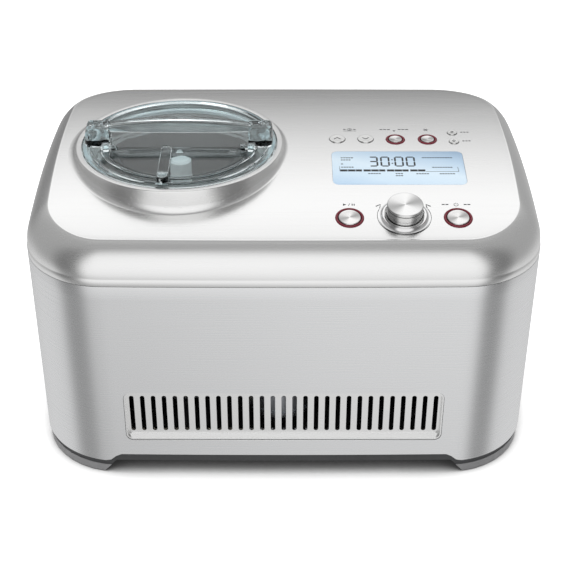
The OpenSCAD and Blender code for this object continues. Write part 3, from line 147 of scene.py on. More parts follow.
def key_radius(node):
    """Radius of a key's cap: the flange that stands out round it is the widest part of its box."""
    low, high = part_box(node)
    return (high.x - low.x) / 2 - KEY_FLANGE


def deck_z(y):
    """Height of the deck, an arc along Y."""
    return DECK_H - DECK_R + np.sqrt(DECK_R**2 - (y - CROWN_Y) ** 2)


def deck_frame(x, y, lift=0.0):
    """Local frame on the deck at x, y, with its Z along the deck's normal."""
    lean = -math.asin((y - CROWN_Y) / DECK_R)
    place = Matrix.Translation((x, y, float(deck_z(y))))
    return place @ Matrix.Rotation(lean, 4, "X") @ Matrix.Translation((0, 0, lift))


CORNER_STEPS = 22
SIDE_STEPS = 10
FRONT_STEPS = 16


def outline(inset):
    """Plan outline, counter-clockwise from the middle of the front: a rounded rectangle with bowed sides."""
    x, y = HALF_W - inset, HALF_D - inset
    rf, rb = CORNER_FRONT - inset, CORNER_BACK - inset
    turn = np.linspace(0, math.pi / 2, CORNER_STEPS + 1)
    front = [((x - rf) * i / FRONT_STEPS, -y) for i in range(FRONT_STEPS)]
    lower = [(x - rf + rf * math.sin(a), rf - y - rf * math.cos(a)) for a in turn]
    side = [(x, rf - y + (2 * y - rf - rb) * i / SIDE_STEPS) for i in range(1, SIDE_STEPS)]
    upper = [(x - rb + rb * math.cos(a), y - rb + rb * math.sin(a)) for a in turn]
    back = [((x - rb) * (1 - i / FRONT_STEPS), y) for i in range(1, FRONT_STEPS + 1)]
    right = np.array(front + lower + side + upper + back)
    left = right[-2:0:-1] * (-1, 1)
    points = np.concatenate([right, left])
    bow_x = 1 - SIDE_BOW / HALF_W * (points[:, 1] / HALF_D) ** 2
    bow_y = 1 - FRONT_BOW / HALF_D * (points[:, 0] / HALF_W) ** 2
    return np.stack([points[:, 0] * bow_x, points[:, 1] * bow_y], axis=1)


# ---------- mesh helpers ----------
def link(name, data):
    piece = bpy.data.objects.new(name, data)
    bpy.context.scene.collection.objects.link(piece)
    return piece


def mesh_from(name, verts, faces):
    mesh = bpy.data.meshes.new(name)
    mesh.from_pydata([tuple(v) for v in verts], [], faces)
    mesh.update()
    return mesh


def quads_between(ring_count, count, start=0, wrap=False):
    """Faces between neighbouring rings of count points each; wrap joins the last ring to the first."""
    faces = []
    for k in range(ring_count if wrap else ring_count - 1):
        low = start + k * count
        high = start + (k + 1) % ring_count * count
        for i in range(count):
            j = (i + 1) % count
            faces.append((low + i, low + j, high + j, high + i))
    return faces


def loops_to_solid(name, rings):
    """A closed skin through rings of equally many points; the first and last ring are filled."""
    count = len(rings[0])
    last = (len(rings) - 1) * count
    faces = quads_between(len(rings), count)
    faces.append(tuple(range(count - 1, -1, -1)))
    faces.append(tuple(range(last, last + count)))
    return link(name, mesh_from(name, np.concatenate(rings), faces))


def ring_to_ring(name, rings):
    """A closed tube of rings: the last ring joins the first, so the solid has a hole through it."""
    faces = quads_between(len(rings), len(rings[0]), wrap=True)
    return link(name, mesh_from(name, np.concatenate(rings), faces))


def lathe(name, profile, steps, place=None, closed=False):
    """Revolves a profile of (radius, height) pairs. A radius of 0 closes it at the axis."""
    verts, rows = [], []
    for radius, height in profile:
        if radius == 0:
            rows.append([len(verts)] * steps)
            verts.append((0, 0, height))
            continue
        rows.append(list(range(len(verts), len(verts) + steps)))
        for i in range(steps):
            a = 2 * math.pi * i / steps
            verts.append((radius * math.cos(a), radius * math.sin(a), height))
    pairs = list(zip(rows, rows[1:]))
    if closed:
        pairs.append((rows[-1], rows[0]))
    faces = []
    for low, high in pairs:
        for i in range(steps):
            j = (i + 1) % steps
            corner = list(dict.fromkeys((low[i], low[j], high[j], high[i])))
            if len(corner) > 2:
                faces.append(tuple(corner))
    mesh = mesh_from(name, verts, faces)
    if place is not None:
        mesh.transform(place)
    return link(name, mesh)


def fillet(cx, cz, r, start, end, steps):
    """Points of an arc in a profile, angles in degrees."""
    return [
        (cx + r * math.cos(math.radians(a)), cz + r * math.sin(math.radians(a)))
        for a in np.linspace(start, end, steps + 1)
    ]


def in_mm(profile):
    return [(radius * MM, height * MM) for radius, height in profile]


def rounded_rectangle(w, d, r, steps=6, middle=(0, 0)):
    return [
        (middle[0] + (sx * (w / 2 - r) + r * math.cos(a)), middle[1] + (sy * (d / 2 - r) + r * math.sin(a)))
        for sx, sy, start in ((1, 1, 0), (-1, 1, 90), (-1, -1, 180), (1, -1, 270))
        for a in np.radians(np.linspace(start, start + 90, steps + 1))
    ]


def circle_points(cx, cy, r, steps):
    return [
        (cx + r * math.cos(a), cy + r * math.sin(a))
        for a in np.linspace(0, 2 * math.pi, steps, endpoint=False)
    ]


def at_height(flat, z):
    """Plan points with a height, the same for all or one for each."""
    return np.column_stack([flat, np.broadcast_to(z, len(flat))])


def prism(name, points, low, high, place=None, axis=2):
    """Straight solid along an axis from low to high; points are the other two coordinates."""
    flat = np.array(points, float)
    piece = loops_to_solid(name, [np.insert(flat, axis, level, axis=1) for level in (low, high)])
    if place is not None:
        piece.data.transform(place)
    return piece


def join(name, pieces):
    """One object out of several, whose solids stay separate shells."""
    joined = bmesh.new()
    for piece in pieces:
        joined.from_mesh(piece.data)
        bpy.data.objects.remove(piece)
    mesh = bpy.data.meshes.new(name)
    joined.to_mesh(mesh)
    joined.free()
    return link(name, mesh)


WELD_REACH = 0.001 * MM


def outward(piece, weld=False):
    """Turns all faces outwards; weld first merges points that meet, which drops faces of no size."""
    shape = bmesh.new()
    shape.from_mesh(piece.data)
    if weld:
        bmesh.ops.remove_doubles(shape, verts=shape.verts, dist=WELD_REACH)
    bmesh.ops.recalc_face_normals(shape, faces=shape.faces)
    shape.to_mesh(piece.data)
    shape.free()
    return piece


def apply_modifiers(piece):
    graph = bpy.context.evaluated_depsgraph_get()
    mesh = bpy.data.meshes.new_from_object(piece.evaluated_get(graph))
    piece.modifiers.clear()
    piece.data = mesh
    return piece


def combine(piece, others, operation):
    """Boolean of piece with every one of others, which are used up."""
    if operation == "DIFFERENCE":
        others = [join("cutters", [outward(other) for other in others])]
    for other in others:
        outward(other)
        step = piece.modifiers.new("boolean", "BOOLEAN")
        step.operation = operation
        step.solver = "EXACT"
        step.object = other
    bpy.context.view_layer.update()
    apply_modifiers(piece)
    for other in others:
        bpy.data.objects.remove(other)


BEVEL_ANGLE = math.radians(35)


def bevel(piece, width):
    step = piece.modifiers.new("bevel", "BEVEL")
    step.width = width
    step.segments = 2
    step.limit_method = "ANGLE"
    step.angle_limit = BEVEL_ANGLE
    step.harden_normals = False
    bpy.context.view_layer.update()
    return apply_modifiers(piece)


def shade(piece, angle=32):
    piece.data.shade_smooth()
    piece.data.set_sharp_from_angle(angle=math.radians(angle))
    return piece


def dress(piece, body, slot, replaces=(), material=None):
    """Gives a finished piece the material of its slot, or the one given, puts it under its body, and hides
    the solids that it stands for.
    """
    piece.data.materials.clear()
    piece.data.materials.append(material or MATERIALS[slot])
    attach(piece, body)
    if replaces:
        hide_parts(*replaces)
    return piece


# ---------- material helpers ----------
SEEN_DIRECTLY = ("Is Camera Ray", "Is Transmission Ray")


class Nodes:
    """A node tree with short calls for what the materials, the floor and the studio share."""

    def __init__(self, owner):
        owner.use_nodes = True
        self.tree = owner.node_tree

    def feed(self, socket, value):
        """Links another node's output to a socket, or sets the socket to a plain value."""
        if isinstance(value, bpy.types.NodeSocket):
            self.tree.links.new(value, socket)
        elif socket.type == "RGBA" and len(value) == 3:
            socket.default_value = (*value, 1)
        else:
            socket.default_value = value

    def node(self, kind, **inputs):
        """A new node; an input is named by its label, or by _ and its number."""
        made = self.tree.nodes.new(kind)
        for name, value in inputs.items():
            label = int(name[1:]) if name[1:].isdigit() else name.replace("_", " ")
            self.feed(made.inputs[label], value)
        return made

    def math(self, operation, a, b=0.0):
        made = self.node("ShaderNodeMath", _0=a, _1=b)
        made.operation = operation
        return made.outputs["Value"]

    def ramp(self, fac, stops, interpolation="LINEAR"):
        made = self.node("ShaderNodeValToRGB", Fac=fac)
        made.color_ramp.interpolation = interpolation
        points = made.color_ramp.elements
        while len(points) < len(stops):
            points.new(0.5)
        for point, (place, colour) in zip(points, stops):
            point.position = place
            point.color = (*colour, 1)
        return made.outputs["Color"]

    def mix_shaders(self, fac, a, b):
        return self.node("ShaderNodeMixShader", _0=fac, _1=a, _2=b).outputs["Shader"]

    def light_path_is(self, first, second=None):
        """1 for rays of one or two kinds, 0 for all others."""
        path = self.tree.nodes.new("ShaderNodeLightPath").outputs
        if second is None:
            return path[first]
        return self.math("MAXIMUM", path[first], path[second])


class Shader(Nodes):
    """A material's tree under its Principled shader."""

    def __init__(self, name, **values):
        self.material = bpy.data.materials.new(name)
        super().__init__(self.material)
        self.principled = self.tree.nodes["Principled BSDF"]
        self.coords = self.tree.nodes.new("ShaderNodeTexCoord").outputs["Object"]
        for socket, value in values.items():
            self.set(socket.replace("_", " "), value)

    def set(self, socket, value):
        self.feed(self.principled.inputs[socket], value)

    def stretched(self, scale):
        return self.node("ShaderNodeMapping", Vector=self.coords, Scale=scale).outputs["Vector"]

    def noise(self, scale, detail=3.0, vector=None):
        if vector is None:
            vector = self.coords
        made = self.node("ShaderNodeTexNoise", Vector=vector, Scale=scale, Detail=detail, Roughness=0.55)
        return made.outputs["Fac"]

    def spread(self, fac, low, high, source=(0.3, 0.7)):
        made = self.node("ShaderNodeMapRange", Value=fac, To_Min=low, To_Max=high)
        self.feed(made.inputs["From Min"], source[0])
        self.feed(made.inputs["From Max"], source[1])
        return made.outputs["Result"]

    def weighted(self, a, share_a, b, share_b):
        return self.math("ADD", self.math("MULTIPLY", a, share_a), self.math("MULTIPLY", b, share_b))

    def bump(self, height, strength, distance):
        made = self.node("ShaderNodeBump", Height=height, Strength=strength, Distance=distance)
        self.set("Normal", made.outputs["Normal"])

    def tone(self, fac, colour, amount):
        """Base colour that varies by a share of itself."""
        dark = tuple(c * (1 - amount) for c in colour)
        light = tuple(min(c * (1 + amount), 1) for c in colour)
        self.set("Base Color", self.ramp(fac, [(0.3, dark), (0.7, light)]))

    def grain_of_roughness(self, fac, middle, less, more):
        self.set("Roughness", self.spread(fac, middle - less, middle + more))


def brushed_metal(name, colour, roughness, grain, strength=0.03):
    """Rolled steel with a fine grain; grain is the scale of its lines along X, Y and Z."""
    made = Shader(name, Metallic=1.0)
    lines = made.noise(1.0, 4.0, made.stretched(grain))
    cloud = made.noise(9.0, 2.0)
    made.tone(made.weighted(lines, 0.6, cloud, 0.4), colour, 0.012)
    made.grain_of_roughness(lines, roughness, 0.03, 0.03)
    made.bump(lines, strength, 0.2 * MM)
    return made.material


# Turn and sharpness of the two sectors painted darker into the turned steel's colour: a painted sheen.
PAINTED_SHEEN_TURN = math.radians(20)
PAINTED_SHEEN_SHARPNESS = 4.0


def face_turned_metal_painted_sheen(name, colour, roughness, centre):
    """Face-turned steel: fine rings round the piece's own axis, and a painted sheen of two darker sectors
    across it in its colour.
    """
    made = Shader(name, Metallic=1.0, Anisotropic=0.75)
    away = made.node("ShaderNodeVectorMath", _0=made.coords, _1=centre)
    away.operation = "DISTANCE"
    lines = made.noise(2600.0, 2.0, made.node("ShaderNodeCombineXYZ", X=away.outputs["Value"]).outputs[0])
    side = made.node("ShaderNodeVectorMath", _0=made.coords, _1=centre)
    side.operation = "SUBTRACT"
    axes = made.node("ShaderNodeSeparateXYZ", Vector=side.outputs["Vector"]).outputs
    # Painted sheen: the colour is darkened in two sectors across the axis, standing in for the turned
    # finish's reflection.
    turned = made.math("SUBTRACT", made.math("ARCTAN2", axes[1], axes[0]), PAINTED_SHEEN_TURN)
    painted_dark_sectors = made.math("POWER", made.math("ABSOLUTE", made.math("COSINE", turned)), PAINTED_SHEEN_SHARPNESS)
    painted_sheen_level = made.math("ADD", made.weighted(painted_dark_sectors, -0.8, lines, 0.2), 0.8)
    dark = tuple(c * 0.5 for c in colour)
    made.set("Base Color", made.ramp(painted_sheen_level, [(0.1, dark), (0.85, colour)]))
    made.grain_of_roughness(lines, roughness, 0.04, 0.05)
    made.bump(lines, 0.08, 0.1 * MM)
    tangent = made.node("ShaderNodeTangent")
    tangent.direction_type = "RADIAL"
    tangent.axis = "Z"
    made.set("Tangent", tangent.outputs["Tangent"])
    return made.material


def moulded_plastic(name, colour, roughness, grain=900.0, strength=0.12):
    made = Shader(name)
    grit = made.noise(grain, 2.0)
    made.tone(made.noise(60.0), colour, 0.06)
    made.grain_of_roughness(grit, roughness, 0.06, 0.06)
    made.bump(grit, strength, 0.2 * MM)
    return made.material


def painted_metal(name, colour, roughness):
    made = Shader(name, Coat_Weight=0.3, Coat_Roughness=0.2)
    orange_peel = made.noise(260.0, 2.0)
    made.tone(made.noise(25.0), colour, 0.08)
    made.grain_of_roughness(orange_peel, roughness, 0.05, 0.05)
    made.bump(orange_peel, 0.08, 0.3 * MM)
    return made.material


def clear_plastic(name, colour, roughness):
    """Clear plastic that lets the studio light pass, so that what lies under the lid is lit."""
    made = Shader(name, Transmission_Weight=1.0, IOR=1.49)
    flow = made.noise(28.0, 2.0)
    made.tone(flow, colour, 0.015)
    made.grain_of_roughness(made.noise(120.0, 2.0), roughness, 0, 0.02)
    made.bump(flow, 0.03, 0.6 * MM)
    passing = made.node("ShaderNodeBsdfTransparent", Color=colour).outputs["BSDF"]
    lit = made.light_path_is("Is Shadow Ray", "Is Diffuse Ray")
    surface = made.tree.nodes["Material Output"].inputs["Surface"]
    made.feed(surface, made.mix_shaders(lit, made.principled.outputs["BSDF"], passing))
    return made.material


def copper_tube(name):
    made = Shader(name, Metallic=1.0)
    patina = made.noise(70.0, 5.0)
    made.set("Base Color", made.ramp(patina, [(0.35, (0.42, 0.2, 0.12)), (0.65, (0.8, 0.46, 0.32))]))
    made.set("Roughness", made.spread(patina, 0.24, 0.42))
    made.bump(made.noise(300.0), 0.06, 0.2 * MM)
    return made.material


def foam(name):
    made = Shader(name, Roughness=0.95)
    cells = made.node("ShaderNodeTexVoronoi", Vector=made.coords, Scale=420.0).outputs["Distance"]
    made.set("Base Color", made.ramp(cells, [(0.1, (0.72, 0.66, 0.48)), (0.7, (0.88, 0.84, 0.7))]))
    made.bump(cells, 0.5, 0.8 * MM)
    return made.material


def circuit_board(name):
    made = Shader(name, Coat_Weight=0.4, Coat_Roughness=0.15)
    tracks = made.node("ShaderNodeTexBrick", Vector=made.stretched((160, 160, 160)), Scale=1.0)
    greens = {"Color1": (0.02, 0.12, 0.06), "Color2": (0.03, 0.17, 0.08), "Mortar": (0.07, 0.28, 0.14)}
    for socket, green in greens.items():
        made.feed(tracks.inputs[socket], green)
    made.set("Base Color", tracks.outputs["Color"])
    made.set("Roughness", made.spread(tracks.outputs["Fac"], 0.35, 0.5, (0, 1)))
    made.bump(tracks.outputs["Fac"], 0.2, 0.1 * MM)
    return made.material


# Colours across the display field: its backlight colour with painted light and shade over it.
BACKLIGHT_AND_PAINTED_SHADING = [
    (0.0, (0.42, 0.60, 0.80)),
    (0.30, (0.62, 0.78, 0.92)),
    (0.55, (0.70, 0.84, 0.95)),
    (0.80, (0.50, 0.67, 0.84)),
    (1.0, (0.33, 0.49, 0.67)),
]


def display_backlight_painted_shading(name):
    """Pale blue backlit display field with painted light and shade: brighter in the middle and lower left,
    deeper blue to the upper right.
    """
    made = Shader(name, Coat_Weight=1.0, Coat_Roughness=0.06, Specular_IOR_Level=0.3)
    split = made.node("ShaderNodeSeparateXYZ", Vector=made.coords).outputs
    across = made.spread(split["X"], 0, 1, (LCD_LOW.x, LCD_HIGH.x))
    up = made.spread(split["Y"], 0, 1, (LCD_LOW.y, LCD_HIGH.y))
    cloud = made.math("MULTIPLY", made.noise(35.0, 1.0), 0.12)
    colour = made.ramp(made.math("ADD", made.weighted(across, 0.35, up, 0.65), cloud), BACKLIGHT_AND_PAINTED_SHADING)
    made.set("Base Color", colour)
    made.set("Emission Color", colour)
    made.set("Emission Strength", 0.12)
    made.set("Roughness", made.spread(made.noise(500.0), 0.28, 0.36))
    return made.material


# ---------- materials ----------
ALONG_X = (8.0, 1500.0, 1500.0)
ROUND_HOUSING = (8.0, 8.0, 1500.0)
ALONG_SHELL = (10, 10, 700)
# Colour, roughness, grain and, where it isn't the usual one, the strength of the grain
METALS = {
    "satin_steel": ((0.86, 0.86, 0.855), 0.25, ALONG_X),
    "brushed_steel": ((0.82, 0.825, 0.83), 0.27, ROUND_HOUSING, 0.018),
    "polished_steel": ((0.8, 0.8, 0.8), 0.14, (60, 60, 60), 0.02),
    "button_steel": ((0.84, 0.84, 0.83), 0.24, ALONG_X),
    "shaft_steel": ((0.66, 0.67, 0.69), 0.22, (40, 40, 900)),
    "screw_steel": ((0.58, 0.58, 0.6), 0.35, (200, 200, 200)),
    "zinc_steel": ((0.55, 0.57, 0.6), 0.42, (60, 60, 60)),
    "aluminium": ((0.78, 0.79, 0.8), 0.3, ALONG_SHELL),
    # Darkened aluminium for the mixing bowl: painted shade for the dim inside of the bowl.
    "aluminium_painted_shade": ((0.2, 0.22, 0.22), 0.4, ALONG_SHELL),
}
PLASTICS = {
    "dark_plastic": ((0.055, 0.056, 0.058), 0.5),
    "grey_plastic": ((0.3, 0.3, 0.305), 0.48),
    "white_plastic": ((0.74, 0.745, 0.74), 0.35),
    "black_rubber": ((0.02, 0.02, 0.02), 0.75, 500.0, 0.3),
    "red_plastic": ((0.17, 0.008, 0.022), 0.3, 400.0, 0.05),
    "clear_silicone": ((0.55, 0.6, 0.62), 0.4, 300.0, 0.05),
    "print_ink": ((0.03, 0.032, 0.036), 0.6, 700.0, 0.05),
}
MATERIALS = {
    **{name: brushed_metal(name, *look) for name, look in METALS.items()},
    **{name: moulded_plastic(name, *look) for name, look in PLASTICS.items()},
    "black_paint": painted_metal("black_paint", (0.02, 0.02, 0.022), 0.35),
    "copper": copper_tube("copper"),
    "foam": foam("foam"),
    "circuit_board": circuit_board("circuit_board"),
    "display": display_backlight_painted_shading("display"),
    "clear_plastic": clear_plastic("clear_plastic", (0.9, 0.96, 0.97), 0.02),
}


def dress_frame():
    """Every solid that still shows gets the finish of its material slot."""
    for part in frame["record"]["subparts"]:
        node = frame["nodes"][part["node"]]
        slot = part["material_slot"]
        finish = {"turned_steel": "shaft_steel", "display_glass": "display"}.get(slot, slot)
        # The bowl's aluminium is darkened into painted shade.
        if part["node"] == "mixing_bowl":
            finish = "aluminium_painted_shade"
        node.data.materials.clear()
        node.data.materials.append(MATERIALS[finish])


# ---------- housing ----------
# The shoulder is a cubic curve; these are its inner control points as shares of its width and rise
SHOULDER_IN = (0, 0.489)
SHOULDER_UP = (0.5, 0.821)
SHOULDER_ROWS = 22
DECK_RINGS = 34
LIP_LOW_Z = WRAP_TOP_Z - 4.3 * MM
SHOULDER_LOW_Z = LIP_LOW_Z + 6.2 * MM
# Inset and height of the lip below the shoulder, and of the fine bead round the deck, in mm
LIP = [(0.45, 0), (0.12, 0.06), (0, 0.4), (0, 2.9), (0.08, 3.9), (0.3, 4.8), (0.52, 5.4), (0.6, 5.8)]
EDGE_BEAD = [(0.3, 0.09), (0.65, 0.1), (1.0, 0), (1.35, -0.06), (1.8, -0.03), (2.4, 0)]
CUT_REACH = 20 * MM


def cubic(t, first, second):
    """Share reached at t by a cubic curve from 0 to 1 with two inner control values."""
    return 3 * first * t * (1 - t) ** 2 + 3 * second * t * t * (1 - t) + t**3


def cover_rings(inset, drop):
    """Rings of the top cover's skin from its lower edge up the shoulder and in over the deck."""
    rings = [at_height(outline(inset + inward * MM), LIP_LOW_Z + height * MM) for inward, height in LIP]
    edge = outline(SHOULDER_W + inset)
    rise = deck_z(edge[:, 1]) - drop - SHOULDER_LOW_Z
    ledge = LIP[-1][0] * MM
    for k in range(SHOULDER_ROWS + 1):
        inward, upward = cubic(k / SHOULDER_ROWS, *SHOULDER_IN), cubic(k / SHOULDER_ROWS, *SHOULDER_UP)
        flat = outline(inset + ledge + (SHOULDER_W - ledge) * inward)
        rings.append(at_height(flat, SHOULDER_LOW_Z + rise * upward))
    for inward, height in EDGE_BEAD:
        edge = outline(SHOULDER_W + inset + inward * MM)
        rings.append(at_height(edge, deck_z(edge[:, 1]) - drop + height * MM))
    for k in range(1, DECK_RINGS):
        flat = edge * (1 - k / DECK_RINGS)
        rings.append(at_height(flat, deck_z(flat[:, 1]) - drop))
    return rings


def cover_shell():
    """The top cover's outer and inner skin, each closed by a middle point and joined at the lower edge."""
    outer = cover_rings(0.0, 0.0)
    inner = cover_rings(COVER_T, COVER_T)
    count = len(outer[0])
    inner_start = len(outer) * count
    tip = inner_start + len(inner) * count
    middle_z = float(deck_z(0.0))
    verts = np.concatenate([*outer, *inner, [(0, 0, middle_z), (0, 0, middle_z - COVER_T)]])
    faces = quads_between(len(outer), count)
    faces += [face[::-1] for face in quads_between(len(inner), count, inner_start)]
    last_outer, last_inner = inner_start - count, tip - count
    for i in range(count):
        j = (i + 1) % count
        faces.append((last_outer + i, last_outer + j, tip))
        faces.append((last_inner + j, last_inner + i, tip + 1))
        faces.append((j, i, inner_start + i, inner_start + j))
    return link("cover_shell", mesh_from("cover_shell", verts, faces))


def deck_hole(node, radius):
    x, y = key_place(node)
    return prism("cut", circle_points(0, 0, radius, 48), -8 * MM, 8 * MM, deck_frame(x, y))


def make_cover():
    cover = cover_shell()
    window = rounded_rectangle(LCD_W + 2 * SEAT_GAP, LCD_DEPTH + 2 * SEAT_GAP, 5 * MM)
    well = circle_points(WELL.x, WELL.y, SLEEVE_R + 0.5 * MM, 128)
    cutters = [
        prism("cut", window, -6 * COVER_T, 6 * COVER_T, deck_frame(LCD.x, LCD_Y)),
        prism("cut", well, SEAM_Z, DECK_H + CUT_REACH),
        *(deck_hole(node, key_radius(node) + BUTTON_GAP) for node in (*TIMER_KEYS, *SMALL_KEYS)),
        *(deck_hole(node, radius) for node, radius in RING_R.items()),
    ]
    combine(cover, cutters, "DIFFERENCE")
    dress(shade(cover, 30), "housing", "satin_steel", ["top_cover"])


ARCH_HALF = np.array([HALF_W - CORNER_FRONT, HALF_D - CORNER_BACK]) - ARCH_SETBACK


def lower_edge(flat, offset=0.0, middle=ARCH_Z, end=CORNER_Z):
    """Height of the lower edge, which is raised along the sides and comes down near the corners."""
    share = np.clip((np.abs(flat) - (ARCH_HALF + offset)) / RAMP, 0, 1)
    share = share * share * (3 - 2 * share)
    return np.max(middle + (end - middle) * share, axis=1)


FINE_STEP = 3.2 * MM


def fine_outline():
    """The housing's outline with its points close enough together for the steps of the lower edge."""
    flat = outline(0.0)
    parts = []
    for a, b in zip(flat, np.roll(flat, -1, axis=0)):
        pieces = max(1, int(np.linalg.norm(b - a) / FINE_STEP))
        parts.extend(a + (b - a) * i / pieces for i in range(pieces))
    return np.array(parts)


def fine_inset(inset):
    """The fine outline moved inwards along its normals, so that its points match the outer one's."""
    flat = fine_outline()
    along = np.roll(flat, -1, axis=0) - np.roll(flat, 1, axis=0)
    along /= np.linalg.norm(along, axis=1)[:, None]
    return flat + np.column_stack([-along[:, 1], along[:, 0]]) * inset


WALL_ROWS = 14
GRILLE_W = 247 * MM
GRILLE_H = 46.8 * MM
GRILLE_MIDDLE = (0, 34.7 * MM + GRILLE_H / 2)
GRILLE_CORNER = 6 * MM
VENT_COUNT = 13
VENT_PITCH = 8.4 * MM
VENT_X = 96 * MM
VENT_Z = 82 * MM
VENT_W = 3.6 * MM
VENT_LEN = 76 * MM
GLAND_HOLE_R = 9.1 * MM
TOP_ROLL = 0.4 * MM
SKIN_TOP_Z = LIP_LOW_Z - 0.3 * MM


def make_wrap():
    """Side wrap with its stepped lower edge, a small roll along its top, and its openings."""
    flat = fine_outline()
    low = lower_edge(flat)
    straight_top = SKIN_TOP_Z - TOP_ROLL
    rings = [at_height(flat, low + (straight_top - low) * k / WALL_ROWS) for k in range(WALL_ROWS + 1)]
    for a in np.radians((22.5, 45, 67.5, 90)):
        rolled = fine_inset(TOP_ROLL * (1 - math.cos(a)))
        rings.append(at_height(rolled, straight_top + TOP_ROLL * math.sin(a)))
    inner = fine_inset(WRAP_T)
    rings += [at_height(inner, SKIN_TOP_Z), at_height(inner, lower_edge(inner))]
    wrap = ring_to_ring("wrap_shell", rings)
    front, back = (-HALF_D - CUT_REACH, -HALF_D + CUT_REACH), (HALF_D - CUT_REACH, HALF_D + CUT_REACH)
    window = rounded_rectangle(GRILLE_W, GRILLE_H, GRILLE_CORNER, 8, GRILLE_MIDDLE)
    cutters = [prism("cut", window, *front, axis=1)]
    for i in range(VENT_COUNT):
        middle = (VENT_X + (i - (VENT_COUNT - 1) / 2) * VENT_PITCH, VENT_Z)
        vent = rounded_rectangle(VENT_W, VENT_LEN, VENT_W / 2 - 0.01 * MM, 6, middle)
        cutters.append(prism("cut", vent, *back, axis=1))
    gland = centre_of("cord_gland")
    hole = circle_points(gland.x, gland.z, GLAND_HOLE_R, 40)
    cutters.append(prism("cut", hole, *back, axis=1))
    combine(wrap, cutters, "DIFFERENCE")
    dress(shade(wrap, 30), "housing", "brushed_steel", ["side_wrap"])


SKIRT_INSET = 2.0 * MM
SKIRT_T = 0.6 * MM


def make_skirt():
    """Thin dark band just outside the faceted outline of the recessed base."""
    flat = fine_inset(SKIRT_INSET)
    high = lower_edge(flat) - 0.3 * MM
    low = np.maximum(lower_edge(flat, BELLY_OFFSET, BELLY_Z, 0.0), FOOT_TOP_Z)
    outer = fine_inset(SKIRT_INSET - SKIN_PROUD)
    inner = fine_inset(SKIRT_INSET + SKIRT_T)
    edges = [(outer, low), (outer, low + (high - low) * 0.5), (outer, high), (inner, high), (inner, low)]
    skirt = ring_to_ring("skirt_skin", [at_height(points, z) for points, z in edges])
    dress(shade(skirt), "housing", "dark_plastic")


# ---------- collar ----------
RIM_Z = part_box("bowl_collar")[1].z
RIM_R = 81.3 * MM
LID_R = 76 * MM
LID_SEAT_R = 76.6 * MM
LID_SEAT_Z = RIM_Z - 10 * MM
SLEEVE_R = 78 * MM
COLLAR_BORE_R = 71.5 * MM
COLLAR_LOW_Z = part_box("cold_well")[1].z + 0.3 * MM
COLLAR_TURNS = 160
SEAT_ROLL = 0.7 * MM
RIM_EDGE = 1.0 * MM
FLANK_SLOPE = 0.02
FOOT_R = 86.6 * MM
FOOT_SHIFT = 1.1 * MM
FOOT_TUCK = 0.9 * MM
FOOT_ROWS = 15
FOOT_RISE = 5.0 * MM
FOOT_END = math.radians(78)


def foot_edge(turn):
    """Radius of the foot's outer edge at an azimuth: more on the left, less in front."""
    return FOOT_R - FOOT_SHIFT * math.cos(turn) + FOOT_TUCK * min(0.0, math.sin(turn))


def collar_profile(turn):
    """Section of the collar: lid seat, rolled rim, upright flank and concave foot."""

    def ground(r):
        return float(deck_z(WELL.y + r * math.sin(turn)))

    outer = foot_edge(turn)
    rise = min(FOOT_RISE, RIM_Z - ground(RIM_R) - RIM_EDGE - 0.2 * MM)
    wall = RIM_R + FLANK_SLOPE * (RIM_Z - ground(RIM_R) - rise)
    seat = [
        (COLLAR_BORE_R, COLLAR_LOW_Z),
        (COLLAR_BORE_R, LID_SEAT_Z),
        (LID_SEAT_R, LID_SEAT_Z),
        (LID_SEAT_R, RIM_Z - SEAT_ROLL),
        *fillet(LID_SEAT_R + SEAT_ROLL, RIM_Z - SEAT_ROLL, SEAT_ROLL, 170, 90, 4),
        *fillet(RIM_R - RIM_EDGE, RIM_Z - RIM_EDGE, RIM_EDGE, 90, 5, 6),
    ]
    foot = []
    for b in np.linspace(0, FOOT_END, FOOT_ROWS):
        r = wall + (outer - wall) * (1 - math.cos(b)) / (1 - math.cos(FOOT_END))
        foot.append((r, ground(r) + 0.1 * MM + rise * (1 - math.sin(b) / math.sin(FOOT_END))))
    low = foot[-1][1]
    under = [(outer + 0.05 * MM, low - 0.3 * MM), (SLEEVE_R, low - 3 * MM), (SLEEVE_R, COLLAR_LOW_Z)]
    return seat + foot + under


def make_collar():
    rings = []
    for i in range(COLLAR_TURNS):
        a = 2 * math.pi * i / COLLAR_TURNS
        section = collar_profile(a)
        rings.append([(WELL.x + r * math.cos(a), WELL.y + r * math.sin(a), z) for r, z in section])
    collar = outward(ring_to_ring("collar_shell", rings), weld=True)
    dress(shade(collar, 40), "housing", "satin_steel", ["bowl_collar"])


# ---------- lid and cap, drawn round the well's axis ----------
PLATE_LOW_Z = RIM_Z - 3 * MM
PLATE_TOP_Z = PLATE_LOW_Z + 2.5 * MM
ROOT_Z = PLATE_TOP_Z - 1 * MM
LID_LOW_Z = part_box("lid")[0].z
HANDLE_TOP_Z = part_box("lid")[1].z
HATCH_R = 58 * MM
HATCH_BACK_Y = -9 * MM
HINGE_Y = -13 * MM
HINGE_Z = PLATE_TOP_Z + 2 * MM
PIN_R = 1.5 * MM
PIN_LEN = 8 * MM
PIN_CHAMFER = 0.3 * MM
STEP_Z = PLATE_TOP_Z + 1.5 * MM
LUG_IN = 54 * MM
LUG_OUT = 73 * MM
LUG_HALF = 9 * MM
LUG_FACET = 0.45 * MM
LUG_FACET_W = 2.2 * MM
LUG_TAPER = 0.14
HATCH_HALF_W = LUG_IN - 0.8 * MM
BEAM_DROP = 4.5 * MM
BAR_STATIONS = 33
BAR_H = 9.5 * MM
BAR_ARCH = 4.4 * MM
BAR_HALF_T = 6 * MM
BAR_TAPER = 1.2 * MM
BAR_TOP_ROLL = 1.4 * MM
BAR_LOW_ROLL = 1.0 * MM
BAR_FRONT_DROP = 3.0 * MM
RIB_X = -8.5 * MM
RIB_W = 8.7 * MM
